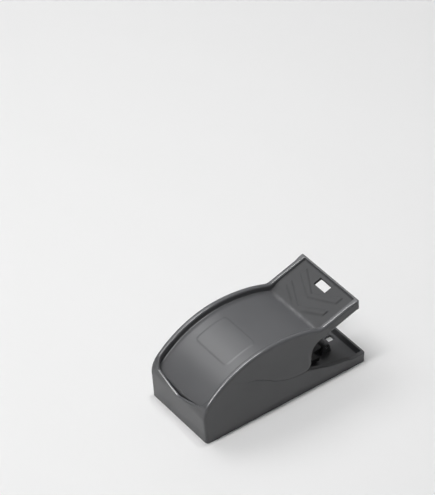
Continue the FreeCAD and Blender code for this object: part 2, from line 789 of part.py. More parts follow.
def make_kill_bar():
    """One bent wire: two legs in the cover's sockets and the bar across between them."""
    body = new_body("kill_bar")
    top = s.bar_boss_z + s.bar_depth - s.pin_end_gap
    path = new_sketch(body, "PathSketch", "YZ_Plane", s.bar_x)
    near = bar_half_span - s.bar_bend
    points = [
        (bar_half_span, top), (bar_half_span, s.bar_z + s.bar_bend), (near, s.bar_z),
        (-near, s.bar_z), (-bar_half_span, s.bar_z + s.bar_bend), (-bar_half_span, top),
    ]
    spots = [Vector(as_size(y).number, as_size(z).number, 0) for y, z in points]
    edges = []
    for i in range(5):
        if i in (1, 3):
            edges.append(add_arc(path, spots[i], spots[i + 1], s.bar_bend.number, -1))
        else:
            edges.append(add_line(path, spots[i], spots[i + 1]))
    for i, (edge, start_end, far_end) in enumerate(edges):
        dimension(path, "DistanceX", (-1, 1, edge, start_end), points[i][0])
        dimension(path, "DistanceY", (-1, 1, edge, start_end), points[i][1])
        if i in (1, 3):
            dimension(path, "Radius", (edge,), s.bar_bend)
        if i < 4:
            follower, follower_start, _ = edges[i + 1]
            path.addConstraint(Sketcher.Constraint("Coincident", edge, far_end, follower, follower_start))
        else:
            dimension(path, "DistanceX", (-1, 1, edge, far_end), points[5][0])
            dimension(path, "DistanceY", (-1, 1, edge, far_end), points[5][1])
    section = new_sketch(body, "SectionSketch", "XY_Plane", top)
    draw_circle(section, s.bar_x, bar_half_span, s.bar_radius)
    doc.recompute()
    pipe = body.newObject("PartDesign::AdditivePipe", "Wire")
    pipe.Profile = section
    pipe.Spine = (path, ["Edge%d" % (i + 1) for i in range(5)])
    body.Tip = pipe
    return body


def pedal_line(x):
    """The pedal's lower face, which rises from its front edge to its hinge."""
    rise = (s.pedal_hinge_z - s.pedal_hub - s.pedal_low_z) / (pedal_hinge_x - s.pedal_front_x)
    return s.pedal_low_z + rise * (x - s.pedal_front_x)


def make_pedal():
    """Long treadle: hub at the tail, plate with raised edges, cup hole and a stirrup round the latch."""
    body = new_body("trip_pedal")
    rear = pedal_rear_x
    plate = [
        (s.pedal_front_x, s.pedal_low_z),
        (rear, pedal_line(rear)),
        (rear, pedal_line(rear) + s.pedal_plate),
        (s.pedal_front_x, s.pedal_low_z + s.pedal_plate),
    ]
    slab(body, "Plate", plate, -s.pedal_half_width, s.pedal_half_width)
    edge = [
        (s.pedal_front_x, s.pedal_low_z + s.pedal_plate - s.overlap),
        (rear, pedal_line(rear) + s.pedal_plate - s.overlap),
        (rear, pedal_line(rear) + s.pedal_plate + s.pedal_edge_height),
        (s.pedal_front_x, s.pedal_low_z + s.pedal_plate + s.pedal_edge_height),
    ]
    pair(body, "Edge", edge, s.pedal_half_width - s.pedal_edge, s.pedal_half_width)
    neck = [
        (rear - 1, pedal_line(rear - 1)),
        (pedal_hinge_x, s.pedal_hinge_z - s.pedal_hub),
        (pedal_hinge_x, s.pedal_hinge_z - s.pedal_hub + s.pedal_plate * 2),
        (rear - 1, pedal_line(rear - 1) + s.pedal_plate),
    ]
    slab(body, "Neck", neck, -s.pedal_hub_y, s.pedal_hub_y)
    rod(body, "Hub", pedal_hinge_x, s.pedal_hinge_z, s.pedal_hub, -s.pedal_hub_y, s.pedal_hub_y)
    tongue = rectangle(s.stirrup_x, s.pedal_front_x + 1, s.pedal_low_z, s.pedal_low_z + s.pedal_plate)
    slab(body, "Tongue", tongue, -s.stirrup_half_width, s.stirrup_half_width)
    bridge_z = s.latch_arm_z + s.latch_arm + s.stirrup_lift
    stirrup = rectangle(s.stirrup_x, s.pedal_front_x, s.pedal_low_z + s.pedal_plate - s.overlap,
                        bridge_z + s.stirrup_bridge)
    pair(body, "StirrupPost", stirrup, s.stirrup_half_width - s.stirrup_post, s.stirrup_half_width)
    bridge = rectangle(s.stirrup_x, s.pedal_front_x, bridge_z, bridge_z + s.stirrup_bridge)
    slab(body, "Bridge", bridge, -s.stirrup_half_width, s.stirrup_half_width)
    hole = [(s.cup_x, as_size(0), s.cup_radius + s.cup_fit)]
    post(body, "CupHole", (), as_size(0), s.cup_top_z, cut=True, circles=hole)
    first = s.cup_x + s.cup_flange + s.pedal_groove_pitch / 2
    count = int((rear.number - first.number) / s.pedal_groove_pitch.number)
    for i in range(count):
        x = first + s.pedal_groove_pitch * i
        top = pedal_line(x) + s.pedal_plate
        tread = [(x, top - s.overlap), (x + s.pedal_groove * 3, top - s.overlap),
                 (x + s.pedal_groove * 2, top + s.pedal_groove), (x + s.pedal_groove, top + s.pedal_groove)]
        tread_y = s.pedal_half_width - s.pedal_edge * 2
        slab(body, "Tread%d" % (i + 1), tread, -tread_y, tread_y)
    rod(body, "HubBore", pedal_hinge_x, s.pedal_hinge_z, s.pedal_pin_radius + s.bore_fit,
        -s.pedal_hub_y, s.pedal_hub_y, cut=True)
    return body


def make_bait_cup():
    """A round cup with a flange that hangs it in the pedal's hole."""
    body = new_body("bait_cup")
    flange_z = pedal_line(s.cup_x + s.cup_flange) + s.pedal_plate + s.cup_seat_gap
    post(body, "Cup", (), s.cup_bottom_z, s.cup_top_z, circles=[(s.cup_x, as_size(0), s.cup_radius)])
    post(body, "Flange", (), flange_z, flange_z + s.cup_flange_thick,
         circles=[(s.cup_x, as_size(0), s.cup_flange)])
    post(body, "Well", (), s.cup_bottom_z + s.cup_wall, s.cup_top_z, cut=True,
         circles=[(s.cup_x, as_size(0), s.cup_radius - s.cup_wall)])
    return body


def make_latch():
    """Sear lever: hub in the nose, arm to the pedal's stirrup and a finger that stops the sear tooth."""
    body = new_body("latch")
    wide = s.latch_half_width
    rod(body, "Hub", s.latch_x, s.latch_z, s.latch_hub, -wide, wide)
    arm = rectangle(s.latch_x, s.latch_end_x, s.latch_arm_z, s.latch_arm_z + s.latch_arm)
    slab(body, "Arm", arm, -wide, wide)
    rear_x = s.finger_x + s.finger_long
    across = s.finger_x - s.hinge_x
    rear_across = rear_x - s.hinge_x
    reach = s.sear_reach + s.finger_gap
    finger = [
        (s.finger_x, s.latch_arm_z + s.overlap),
        (rear_x, s.latch_arm_z + s.overlap),
        (rear_x, hinge_z - root(reach * reach - rear_across * rear_across), reach, -1),
        (s.finger_x, hinge_z - root(reach * reach - across * across)),
    ]
    slab(body, "Finger", finger, -s.sear_half_width, s.sear_half_width)
    rod(body, "Bore", s.latch_x, s.latch_z, s.latch_pin_radius + s.bore_fit, -wide, wide, cut=True)
    return body


# springs


def arc_leaving(start, way, end):
    """The centre-side middle of the arc from start to end that leaves start along way."""
    chord = end - start
    side = chord - way * chord.dot(way)
    radius = chord.dot(chord) / (2 * side.Length)
    centre = start + side.normalize() * radius
    return centre + (start + chord * 0.5 - centre).normalize() * radius


def biarc(start, start_way, end, end_way):
    """Two arcs that leave start along start_way and reach end along end_way, tangent to each other."""
    chord = end - start
    a = 2 * (start_way.dot(end_way) - 1)
    b = -2 * chord.dot(start_way + end_way)
    c = chord.dot(chord)
    reach = (-b - math.sqrt(b * b - 4 * a * c)) / (2 * a)
    middle = (start + start_way * reach + end - end_way * reach) * 0.5
    first = Part.Arc(start, arc_leaving(start, start_way, middle), middle)
    second = Part.Arc(middle, arc_leaving(end, end_way * -1, middle), end)
    return [first.toShape(), second.toShape()]


class Coil:
    """Turns about an axis along y, as biarcs of a quarter turn; sense is 1 from x towards z, -1 back."""

    def __init__(self, centre_x, centre_z, radius, start_y, end_y, start_angle, turns, sense):
        self.centre = (centre_x, centre_z)
        self.radius = radius
        self.start_y = start_y
        self.quarters = int(round(turns * 4))
        self.step = (end_y - start_y) / self.quarters
        self.start_angle = start_angle
        self.sense = sense

    def spot(self, i):
        angle = math.radians(self.start_angle + 90.0 * i * self.sense)
        return Vector(self.centre[0] + self.radius * math.cos(angle), self.start_y + self.step * i,
                      self.centre[1] + self.radius * math.sin(angle))

    def way(self, i):
        angle = math.radians(self.start_angle + 90.0 * i * self.sense)
        quarter = self.radius * math.pi / 2.0 * self.sense
        return Vector(-math.sin(angle) * quarter, self.step, math.cos(angle) * quarter).normalize()

    def edges(self):
        chain = []
        for i in range(self.quarters):
            chain += biarc(self.spot(i), self.way(i), self.spot(i + 1), self.way(i + 1))
        return chain


def hooked_leg(tip, corner, end, radius):
    """A straight run from tip, an arc of the given radius at the corner, and a run to the end."""
    way_in = (corner - tip).normalize()
    way_out = (end - corner).normalize()
    start = corner - way_in * radius
    finish = corner + way_out * radius
    bend = Part.Arc(start, arc_leaving(start, way_in, finish), finish)
    return [Part.LineSegment(tip, start).toShape(), bend.toShape(), Part.LineSegment(finish, end).toShape()]


def least_gap(edges, wire):
    """The least clear distance between stretches of a wire that are over one and a half diameters apart."""
    points = []
    for edge in edges:
        points += edge.discretize(9)[:-1]
    along = [0.0]
    for before, after in zip(points, points[1:]):
        along.append(along[-1] + before.distanceToPoint(after))
    least = 1e9
    for i, first in enumerate(points):
        for j in range(i + 1, len(points)):
            if along[j] - along[i] > wire * math.pi:
                least = min(least, first.distanceToPoint(points[j]))
    return least - wire


def add_spring(label, edges, wire):
    """One round tube along the chain of edges, with its least gap to itself printed."""
    start = edges[0].valueAt(edges[0].FirstParameter)
    way = edges[0].tangentAt(edges[0].FirstParameter)
    section = Part.Wire([Part.Circle(start, way, wire / 2).toShape()])
    shape = Part.Wire(edges).makePipeShell([section], True, False)
    length = sum(edge.Length for edge in edges)
    share = shape.Volume / (math.pi * wire ** 2 / 4 * length)
    print("%s: least gap %.2f mm, volume over section times length %.4f"
          % (label, least_gap(edges, wire), share))
    feature = doc.addObject("Part::Feature", label)
    feature.Label = label
    feature.Shape = shape
    bind(feature, "Placement.Base.x", -datum)
    nodes.append(feature)


def make_hinge_spring(label, side):
    """Torsion coil on the hinge pin: hooked leg in the cover's gusset, straight leg on the base's post."""
    wire = s.spring_wire.number
    radius = s.spring_radius.number
    x = s.hinge_x.number
    z = hinge_z.number
    outer = spring_outer_y.number * side
    leg_z = z - radius
    leg_x = s.spring_leg_x.number
    turns = Coil(x, z, radius, outer, spring_inner_y.number * side, -90.0, s.spring_turns.number + 0.75, -1)
    tip = Vector(leg_x, (lug_outer_y.number - s.pin_end_gap.number) * side, leg_z)
    corner = Vector(leg_x, outer, leg_z)
    lead = Vector(x + radius, outer, leg_z)
    last = turns.quarters
    foot_top = Vector(x + radius, spring_inner_y.number * side, z - radius)
    foot = Vector(foot_top.x, foot_top.y, s.spring_foot_z.number)
    edges = hooked_leg(tip, corner, lead, s.spring_hook.number)
    edges += biarc(lead, Vector(-1, 0, 0), turns.spot(0), turns.way(0))
    edges += turns.edges()
    edges += biarc(turns.spot(last), turns.way(last), foot_top, Vector(0, 0, -1))
    edges.append(Part.LineSegment(foot_top, foot).toShape())
    add_spring(label, edges, wire)


def make_latch_spring():
    """Small torsion coil on the latch pin: hooked leg over the latch arm, straight leg in the floor."""
    wire = s.latch_spring_wire.number
    radius = latch_spring_radius.number
    x = s.latch_x.number
    z = s.latch_z.number
    leg_x = x + s.latch_spring_leg.number
    start_y = latch_spring_start.number
    end_y = latch_spring_end.number
    turns = Coil(x, z, radius, start_y, end_y, 90.0, s.latch_spring_turns.number + 0.25, 1)
    tip = Vector(leg_x, 0, z + radius)
    corner = Vector(leg_x, start_y, z + radius)
    lead = Vector(x + radius, start_y, z + radius)
    last = turns.quarters
    foot_top = Vector(x - radius, end_y, z - radius)
    foot = Vector(x - radius, end_y, s.floor.number - s.latch_spring_foot.number)
    edges = hooked_leg(tip, corner, lead, s.latch_spring_hook.number)
    edges += biarc(lead, Vector(-1, 0, 0), turns.spot(0), turns.way(0))
    edges += turns.edges()
    edges += biarc(turns.spot(last), turns.way(last), foot_top, Vector(0, 0, -1))
    edges.append(Part.LineSegment(foot_top, foot).toShape())
    add_spring("latch_spring", edges, wire)


def build():
    make_base()
    make_cover()
    ear_reach = inner_y - s.pin_end_gap
    make_pin("hinge_pin", s.hinge_x, hinge_z, s.hinge_pin_radius, -ear_reach, ear_reach)
    spacer_low = s.sear_half_width + s.spacer_gap
    spacer_high = spring_inner_y - s.spring_wire / 2 - s.spacer_gap
    make_spacer("spacer_left", spacer_low, spacer_high)
    make_spacer("spacer_right", -spacer_high, -spacer_low)
    make_hinge_spring("spring_left", 1)
    make_hinge_spring("spring_right", -1)
    make_kill_bar()
    make_pedal()
    pedal_reach = s.pedal_hub_y + s.pedal_lug_gap + s.pedal_lug
    make_pin("pedal_pin", pedal_hinge_x, s.pedal_hinge_z, s.pedal_pin_radius, -pedal_reach, pedal_reach)
    make_bait_cup()
    make_latch()
    latch_low = s.latch_half_width + s.latch_lug_gap + s.latch_lug
    latch_high = latch_low + s.latch_spring_room
    make_latch_spring()
    make_pin("latch_pin", s.latch_x, s.latch_z, s.latch_pin_radius, -latch_low, latch_high)


def check_and_write():
    doc.recompute()
    for thing in doc.Objects:
        if "Invalid" in thing.State or "Error" in thing.State:
            raise RuntimeError("%s is %s" % (thing.Label, thing.State))
    os.makedirs("parts", exist_ok=True)
    for thing in nodes:
        shape = thing.Shape
        if shape.isNull() or not shape.isValid():
            raise RuntimeError("%s has no valid shape" % thing.Label)
        print("%s: %d solid(s), volume %.1f mm3" % (thing.Label, len(shape.Solids), shape.Volume))
        shape.exportStep("parts/%s.step" % thing.Label)


build()
check_and_write()
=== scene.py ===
"""Dresses the closed clamshell mouse trap: moulded shells, treadle, wires and pins, on a pale floor.

Shapes are worked out in stations, in millimetres: x runs from the front edge on the ground towards the
tail, y to the left and z up. place() turns stations into the frame's metres.
"""
import json
import math
from types import SimpleNamespace

import bpy
import numpy as np
from mathutils import Matrix, Vector


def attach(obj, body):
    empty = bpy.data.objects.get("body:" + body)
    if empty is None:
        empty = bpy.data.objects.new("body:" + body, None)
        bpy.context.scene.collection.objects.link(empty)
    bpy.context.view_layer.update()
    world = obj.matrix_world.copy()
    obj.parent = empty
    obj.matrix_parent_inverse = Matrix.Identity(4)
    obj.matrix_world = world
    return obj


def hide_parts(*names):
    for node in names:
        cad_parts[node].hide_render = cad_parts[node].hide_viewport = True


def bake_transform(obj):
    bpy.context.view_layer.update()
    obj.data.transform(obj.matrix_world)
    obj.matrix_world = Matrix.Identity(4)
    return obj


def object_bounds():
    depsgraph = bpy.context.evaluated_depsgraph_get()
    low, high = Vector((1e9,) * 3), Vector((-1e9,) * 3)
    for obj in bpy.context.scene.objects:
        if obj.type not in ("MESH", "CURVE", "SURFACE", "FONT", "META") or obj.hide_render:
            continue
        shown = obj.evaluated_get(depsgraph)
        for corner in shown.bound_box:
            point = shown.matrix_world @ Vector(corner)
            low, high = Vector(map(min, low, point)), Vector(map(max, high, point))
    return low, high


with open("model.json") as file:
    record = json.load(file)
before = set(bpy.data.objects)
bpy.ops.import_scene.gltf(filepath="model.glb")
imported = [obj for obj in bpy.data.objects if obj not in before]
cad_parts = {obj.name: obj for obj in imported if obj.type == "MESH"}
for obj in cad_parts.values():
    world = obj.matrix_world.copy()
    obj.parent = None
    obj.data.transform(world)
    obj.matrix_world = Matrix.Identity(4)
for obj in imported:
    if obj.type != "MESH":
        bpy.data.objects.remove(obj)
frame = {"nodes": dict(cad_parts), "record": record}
cad_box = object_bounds()

MM = 0.001
WELD = 0.001
FAR = 30.0
CREASE_ANGLE = 38.0

# the trap's outside, in stations
LENGTH = (cad_box[1][0] - cad_box[0][0]) / MM
NOSE_BULGE = 1.5
DATUM = LENGTH / 2 - NOSE_BULGE
TAIL_END = LENGTH - NOSE_BULGE
HALF_WIDTH = (cad_box[1][1] - cad_box[0][1]) / MM / 2
HEIGHT = (cad_box[1][2] - cad_box[0][2]) / MM
NOSE_RADIUS = 16.2
CROWN = (52.3, 53.6)
FRONT_RADIUS = 68.0
REAR_RADIUS = 99.0
KINK_X = 90.3
KINK_BLEND = 7.0
HANDLE_END = 119.8
HANDLE_RAKE = 0.4
HANDLE_SKIRT = 7.0

# rims, walls and panel
RIM_Y = HALF_WIDTH - 4.0
INNER_Y = HALF_WIDTH - 2.0
SLOT_Y = RIM_Y + 0.3
RIM_ROUND = 2.1
RIM_INNER_ROUND = 1.1
FILLET = 0.6
RECESS = 4.2
HANDLE_RECESS = 2.1
ROOF = 2.0
SKIN = 2.0
REAR_WALL = 1.6
FLOOR = 2.0

# the split between cover and base, from the flap's rear corner up to the rim, and the notch behind the flap
SEAM_TOP_Z = 40.9
SEAM_GAP = 0.25
SEAM_HAIR = 0.05
SHOULDER = (31.8, 34.7)
FLAP_CORNER = (78.8, 17.8)
FLAP_REAR = (82.1, 22.6)
NOTCH_FOOT = (82.1, 29.5)
NOTCH_TOP = (90.0, 38.7)
HANDLE_JOIN = (101.4, 42.3)
SEAM = [(FLAP_CORNER, 46.0, -1), ((52.0, 24.4), 50.0, 1), (SHOULDER, 75.0, 1)]
NOTCH = [(FLAP_CORNER, 6.0, 1), (FLAP_REAR, None, 0), (NOTCH_FOOT, 9.8, -1), (NOTCH_TOP, None, 0),
         (HANDLE_JOIN, None, 0)]

# rows and columns of the surfaces
SIDE_ROWS = 9
EDGE_ROWS = 3
OUTER_ROWS = 6
TOP_ROWS = 2
INNER_ROWS = 4
WALL_ROWS = 3
FILLET_ROWS = 3
CORNER_ROWS = 6
TONGUE_ROWS = 6
SIDE_COLUMNS = SIDE_ROWS + EDGE_ROWS
RIM_COLUMNS = OUTER_ROWS + 1 + TOP_ROWS + INNER_ROWS
CELL = 0.56

# pivots of cover, latch and treadle
PIVOT = (9.0, 24.0)
PIN_BORE = 1.58
LATCH_PIVOT = (7.5, 5.0)
TREADLE_PIVOT = (110.0, 6.5)

FRONT_CENTRE = (CROWN[0], CROWN[1] - FRONT_RADIUS)
REAR_CENTRE = (CROWN[0], CROWN[1] - REAR_RADIUS)
KINK_Z = REAR_CENTRE[1] + math.sqrt(REAR_RADIUS ** 2 - (KINK_X - CROWN[0]) ** 2)
HANDLE_SLOPE = (HEIGHT - KINK_Z) / (HANDLE_END - KINK_X)
HANDLE_LOW = (HANDLE_END + HANDLE_RAKE, HEIGHT - HANDLE_SKIRT)


# curves


def place(points):
    """Stations to metres in the frame: x is counted from the middle of the footprint."""
    return (np.asarray(points, float) - np.array([DATUM, 0.0, 0.0])) * MM


def smooth(value, low, high):
    """A soft step from 0 at low to 1 at high: three squares less two cubes of the clipped share."""
    share = np.clip((value - low) / (high - low), 0.0, 1.0)
    return share * share * (3 - 2 * share)


def quarter(count):
    """Angles from nothing to a right angle, in even steps."""
    return np.linspace(0, math.pi / 2, count + 1)


def arc_between(start, end, radius, side, count=40):
    """The short arc between two points; side is 1 where its centre lies to the left of the way."""
    start = np.array(start)
    end = np.array(end)
    half = (end - start) / 2
    reach = math.hypot(*half)
    normal = np.array([-half[1], half[0]]) / reach * side
    centre = start + half + normal * math.sqrt(radius ** 2 - reach ** 2)
    first = math.atan2(*(start - centre)[::-1])
    turn = (math.atan2(*(end - centre)[::-1]) - first + math.pi) % (2 * math.pi) - math.pi
    angles = first + turn * np.linspace(0, 1, count)
    return centre + radius * np.stack([np.cos(angles), np.sin(angles)], 1)


def run_of(pieces, last):
    """Joins straight and arc pieces, each (start, radius, side), into one line of points to last."""
    ends = [piece[0] for piece in pieces[1:]] + [last]
    lines = []
    for (start, radius, side), end in zip(pieces, ends):
        if radius is None:
            share = np.linspace(0, 1, 20)[:, None]
            lines.append(np.array(start) * (1 - share) + np.array(end) * share)
        else:
            lines.append(arc_between(start, end, radius, side))
    points = np.concatenate(lines)
    apart = np.hypot(*np.diff(points, axis=0).T)
    return points[np.concatenate([[True], apart > 1e-6])]


def lengths_along(points):
    """The distance along a line of points, from its first point to each of them."""
    return np.concatenate([[0.0], np.cumsum(np.hypot(*np.diff(points, axis=0).T))])


def at_distance(points, along, distance):
    """What a line of points holds at distances along it, in between by straight shares."""
    return np.stack([np.interp(distance, along, points[:, k]) for k in (0, 1)], -1)


def stepped(knots, step):
    """Even steps of about one length from knot to knot; the last knot is left out."""
    return np.concatenate([np.linspace(a, b, max(2, int((b - a) / step) + 1))[:-1]
                           for a, b in zip(knots[:-1], knots[1:])])


def kink_blend():
    """Centre of the hollow arc at the kink, and the stations where it starts and ends."""
    slant = math.hypot(1, HANDLE_SLOPE)
    off_line = (KINK_Z - REAR_CENTRE[1] - HANDLE_SLOPE * (KINK_X - CROWN[0])) / slant + KINK_BLEND
    reach = REAR_RADIUS + KINK_BLEND
    along = math.sqrt(reach ** 2 - off_line ** 2)
    centre_x = CROWN[0] + (along - HANDLE_SLOPE * off_line) / slant
    centre_z = REAR_CENTRE[1] + (HANDLE_SLOPE * along + off_line) / slant
    start = CROWN[0] + (centre_x - CROWN[0]) * REAR_RADIUS / reach
    return (centre_x, centre_z), start, centre_x + KINK_BLEND * HANDLE_SLOPE / slant


BLEND_CENTRE, BLEND_START, BLEND_END = kink_blend()


def front_x(z):
    """Station where the front arc has the height z."""
    return FRONT_CENTRE[0] - math.sqrt(FRONT_RADIUS ** 2 - (z - FRONT_CENTRE[1]) ** 2)


def top_line(x):
    """Height and outward normal of the top outline at x: front arc, rear arc, hollow arc, handle line."""
    front = x < CROWN[0]
    radius = np.where(front, FRONT_RADIUS, REAR_RADIUS)
    centre_z = np.where(front, FRONT_CENTRE[1], REAR_CENTRE[1])
    across = x - CROWN[0]
    up = np.sqrt(np.maximum(radius ** 2 - across ** 2, 0))
    blend_across = np.clip(BLEND_CENTRE[0] - x, -KINK_BLEND, KINK_BLEND)
    blend_up = np.sqrt(KINK_BLEND ** 2 - blend_across ** 2)
    slant = math.hypot(1, HANDLE_SLOPE)
    places = [x < BLEND_START, x < BLEND_END]
    z = np.select(places, [centre_z + up, BLEND_CENTRE[1] - blend_up], KINK_Z + HANDLE_SLOPE * (x - KINK_X))
    normal_x = np.select(places, [across / radius, blend_across / KINK_BLEND], -HANDLE_SLOPE / slant)
    normal_z = np.select(places, [up / radius, blend_up / KINK_BLEND], 1 / slant)
    return z, np.stack([normal_x, normal_z], -1)


SEAM_LINE = run_of(SEAM, (front_x(SEAM_TOP_Z), SEAM_TOP_Z))[::-1]
SPLIT_X = SEAM_LINE[0][0]
COVER_EDGE = np.concatenate([SEAM_LINE, run_of(NOTCH, HANDLE_LOW)[1:]])


# surfaces


def with_y(xz, y):
    """Points from their x and z and from their y; where one has fewer rows or columns, it is spread."""
    shape = np.broadcast_shapes(xz.shape[:-1], np.shape(y))
    return np.stack([np.broadcast_to(part, shape) for part in (xz[..., 0], y, xz[..., 1])], -1)


def both_sides(half, middle, sign=1):
    """Values across the trap: those of one side times the sign, the middle, then the side's in reverse."""
    return np.concatenate([sign * half, middle, half[::-1]])


def whole(half, middle):
    """Rows of points across the trap: the mirrored half, the middle, then the half in reverse."""
    return np.concatenate([half * np.array([1, -1, 1]), middle, half[:, ::-1]], 1)


def grid_quads(rows, columns):
    """Quads of a grid, as rows by columns by four point numbers."""
    number = np.arange(rows * columns).reshape(rows, columns)
    return np.stack([number[:-1, :-1], number[1:, :-1], number[1:, 1:], number[:-1, 1:]], -1)


def wrapped_quads(rows, columns, rows_wrap):
    """Quads of a grid whose columns close up, and whose rows do so too where asked."""
    number = np.arange(rows * columns).reshape(rows, columns)
    if rows_wrap:
        number = np.concatenate([number, number[:1]])
    ahead = np.roll(number, -1, 1)
    return np.stack([number[:-1], number[1:], ahead[1:], ahead[:-1]], -1).reshape(-1, 4)


def shell_mesh(name, grids, solids):
    """One closed mesh from pairs of grids: outside, inside turned round, and walls on their open edges.

    Each grid item holds the outer and inner points (rows by columns by xyz), the kept cells and the points
    that are sewn to a neighbour, so that the edges between them get no wall. Solids are whole closed
    surfaces, as points and quads.
    """
    points = []
    faces = []
    offset = 0
    for outer, inner, kept, sewn in grids:
        lift = sewn.size
        sewn = sewn.reshape(-1)
        quads = grid_quads(*outer.shape[:2])[kept]
        starts = quads.reshape(-1)
        ends = np.roll(quads, -1, 1).reshape(-1)
        keys = np.minimum(starts, ends) * lift + np.maximum(starts, ends)
        _, place_of, count = np.unique(keys, return_inverse=True, return_counts=True)
        walled = (count[place_of] == 1) & ~(sewn[starts] & sewn[ends])
        a = starts[walled]
        b = ends[walled]
        walls = np.stack([b, a, a + lift, b + lift], -1)
        points += [outer.reshape(-1, 3), inner.reshape(-1, 3)]
        faces += [quads + offset, quads[:, ::-1] + lift + offset, walls + offset]
        offset += 2 * lift
    for solid_points, quads in solids:
        points.append(solid_points)
        faces.append(quads + offset)
        offset += len(solid_points)
    return welded(name, np.concatenate(points), np.concatenate(faces))


def plate(corners, centre, bore, boss, y_range):
    """A plate across y with a bore: for each angle about the bore, the ray out to the corners' outline.

    Where the boss reaches further than the outline, the boss counts. With a bore of nothing it is solid.
    """
    corners = np.array(corners)
    centre = np.array(centre)
    out = corners - centre
    angles = np.unique(np.concatenate([np.linspace(-math.pi, math.pi, 49)[:-1],
                                       np.arctan2(out[:, 1], out[:, 0])]).round(6))
    ray = np.stack([np.cos(angles), np.sin(angles)], -1)[:, None]
    edge = (np.roll(corners, -1, 0) - corners)[None]
    cross = ray[..., 0] * edge[..., 1] - ray[..., 1] * edge[..., 0]
    cross = np.where(np.abs(cross) < 1e-9, 1e-9, cross)
    reach = (out[None, :, 0] * edge[..., 1] - out[None, :, 1] * edge[..., 0]) / cross
    share = (out[None, :, 0] * ray[..., 1] - out[None, :, 1] * ray[..., 0]) / cross
    met = (reach > 1e-6) & (share > -1e-4) & (share < 1 + 1e-4)
    reach = np.maximum(np.where(met, reach, -1.0).max(1), boss)
    rim = centre + ray[:, 0] * reach[:, None]
    hole = centre + ray[:, 0] * bore
    low, high = sorted(y_range)
    rings = [with_y(line, y) for line, y in ((rim, low), (rim, high), (hole, high), (hole, low))]
    return np.concatenate(rings), wrapped_quads(4, len(angles), True)


def tube(path, radius, around=16):
    """Round wire along a path: rings square to it, turned from one slanting direction, with closed ends."""
    way = np.gradient(path, axis=0)
    way /= np.linalg.norm(way, axis=1, keepdims=True)
    slant = np.array([0.5, 0.7071, 0.5])
    first = slant - way * (way @ slant)[:, None]
    first /= np.linalg.norm(first, axis=1, keepdims=True)
    second = np.cross(way, first)
    angle = np.linspace(0, 2 * math.pi, around + 1)[:-1][None, :, None]
    rings = path[:, None] + radius * (np.cos(angle) * first[:, None] + np.sin(angle) * second[:, None])
    ends = np.repeat(path[[0, -1], None], around, 1)
    rings = np.concatenate([ends[:1], rings, ends[1:]])
    return rings.reshape(-1, 3), wrapped_quads(len(rings), around, False)[:, ::-1]


def welded(name, points, quads):
    """A mesh with equal points made one; quads that close up become triangles or vanish."""
    rounded = np.round(points / WELD).astype(np.int64)
    _, first, same = np.unique(rounded, axis=0, return_index=True, return_inverse=True)
    quads = same.reshape(-1)[quads]
    fresh = quads != np.roll(quads, 1, 1)
    fresh &= ~((quads[:, [0]] == quads[:, [2]]) | (quads[:, [1]] == quads[:, [3]]))
    size = fresh.sum(1)
    fours = quads[size == 4]
    threes = quads[size == 3][fresh[size == 3]].reshape(-1, 3)
    used = np.unique(np.concatenate([fours.reshape(-1), threes.reshape(-1)]))
    number = np.zeros(len(first), np.int64)
    number[used] = np.arange(len(used))
    mesh = bpy.data.meshes.new(name)
    mesh.from_pydata(place(points[first[used]]).tolist(), [],
                     number[fours].tolist() + number[threes].tolist())
    return mesh


def paint(mesh, name, share):
    """Stores a share for each point of the mesh, worked out from the points' stations."""
    flat = np.empty(len(mesh.vertices) * 3)
    mesh.vertices.foreach_get("co", flat)
    x, y, _ = (flat.reshape(-1, 3) / MM + np.array([DATUM, 0.0, 0.0])).T
    mesh.attributes.new(name, "FLOAT", "POINT").data.foreach_set("value", share(x, y))


def linked(name, data):
    """A new object in the scene that holds the mesh, lamp or camera."""
    thing = bpy.data.objects.new(name, data)
    bpy.context.scene.collection.objects.link(thing)
    return thing


def finish_piece(mesh, material):
    """Shades the mesh smooth up to the crease angle, gives it its material and puts it in the scene."""
    mesh.shade_smooth()
    mesh.set_sharp_from_angle(angle=math.radians(CREASE_ANGLE))
    mesh.materials.append(material)
    return linked(mesh.name, mesh)


# materials

# clouds in the plastics, their rougher and darker matte faces, and streaks in the steels
CLOUD_SCALE = 40.0
CLOUD_RANGE = (0.1, 0.9)
CLOUD_TINT = 0.06
CLOUD_ROUGHER = 0.04
MATTE_SHADE = 0.5
MATTE_ROUGHER = 0.6
STREAK_SCALE = 900.0
STREAK_STRETCH = (1.0, 0.08, 1.0)
STREAK_DEPTH_MM = 0.01


def principled(name, color, roughness, metallic=0.0):
    """A new material with its shader's own values set; returns the material, its nodes, links and shader."""
    material = bpy.data.materials.new(name)
    material.use_nodes = True
    nodes = material.node_tree.nodes
    shader = nodes["Principled BSDF"]
    shader.inputs["Base Color"].default_value = (*color, 1)
    shader.inputs["Roughness"].default_value = roughness
    shader.inputs["Metallic"].default_value = metallic
    return material, nodes, material.node_tree.links, shader


def noise_pattern(nodes, links, scale, detail, stretch=None):
    """A noise texture on Object coordinates; stretch scales the pattern along each axis."""
    coordinates = nodes.new("ShaderNodeTexCoord")
    noise = nodes.new("ShaderNodeTexNoise")
    noise.inputs["Scale"].default_value = scale
    noise.inputs["Detail"].default_value = detail
    source = coordinates.outputs["Object"]
    if stretch:
        mapping = nodes.new("ShaderNodeMapping")
        mapping.inputs["Scale"].default_value = stretch
        links.new(source, mapping.inputs["Vector"])
        source = mapping.outputs["Vector"]
    links.new(source, noise.inputs["Vector"])
    return noise.outputs["Fac"]


def ramp(nodes, links, source, low, high, from_low=0.3, from_high=0.7):
    """Maps a value to a range and returns the socket."""
    node = nodes.new("ShaderNodeMapRange")
    node.inputs["From Min"].default_value = from_low
    node.inputs["From Max"].default_value = from_high
    node.inputs["To Min"].default_value = low
    node.inputs["To Max"].default_value = high
    links.new(source, node.inputs["Value"])
    return node.outputs["Result"]


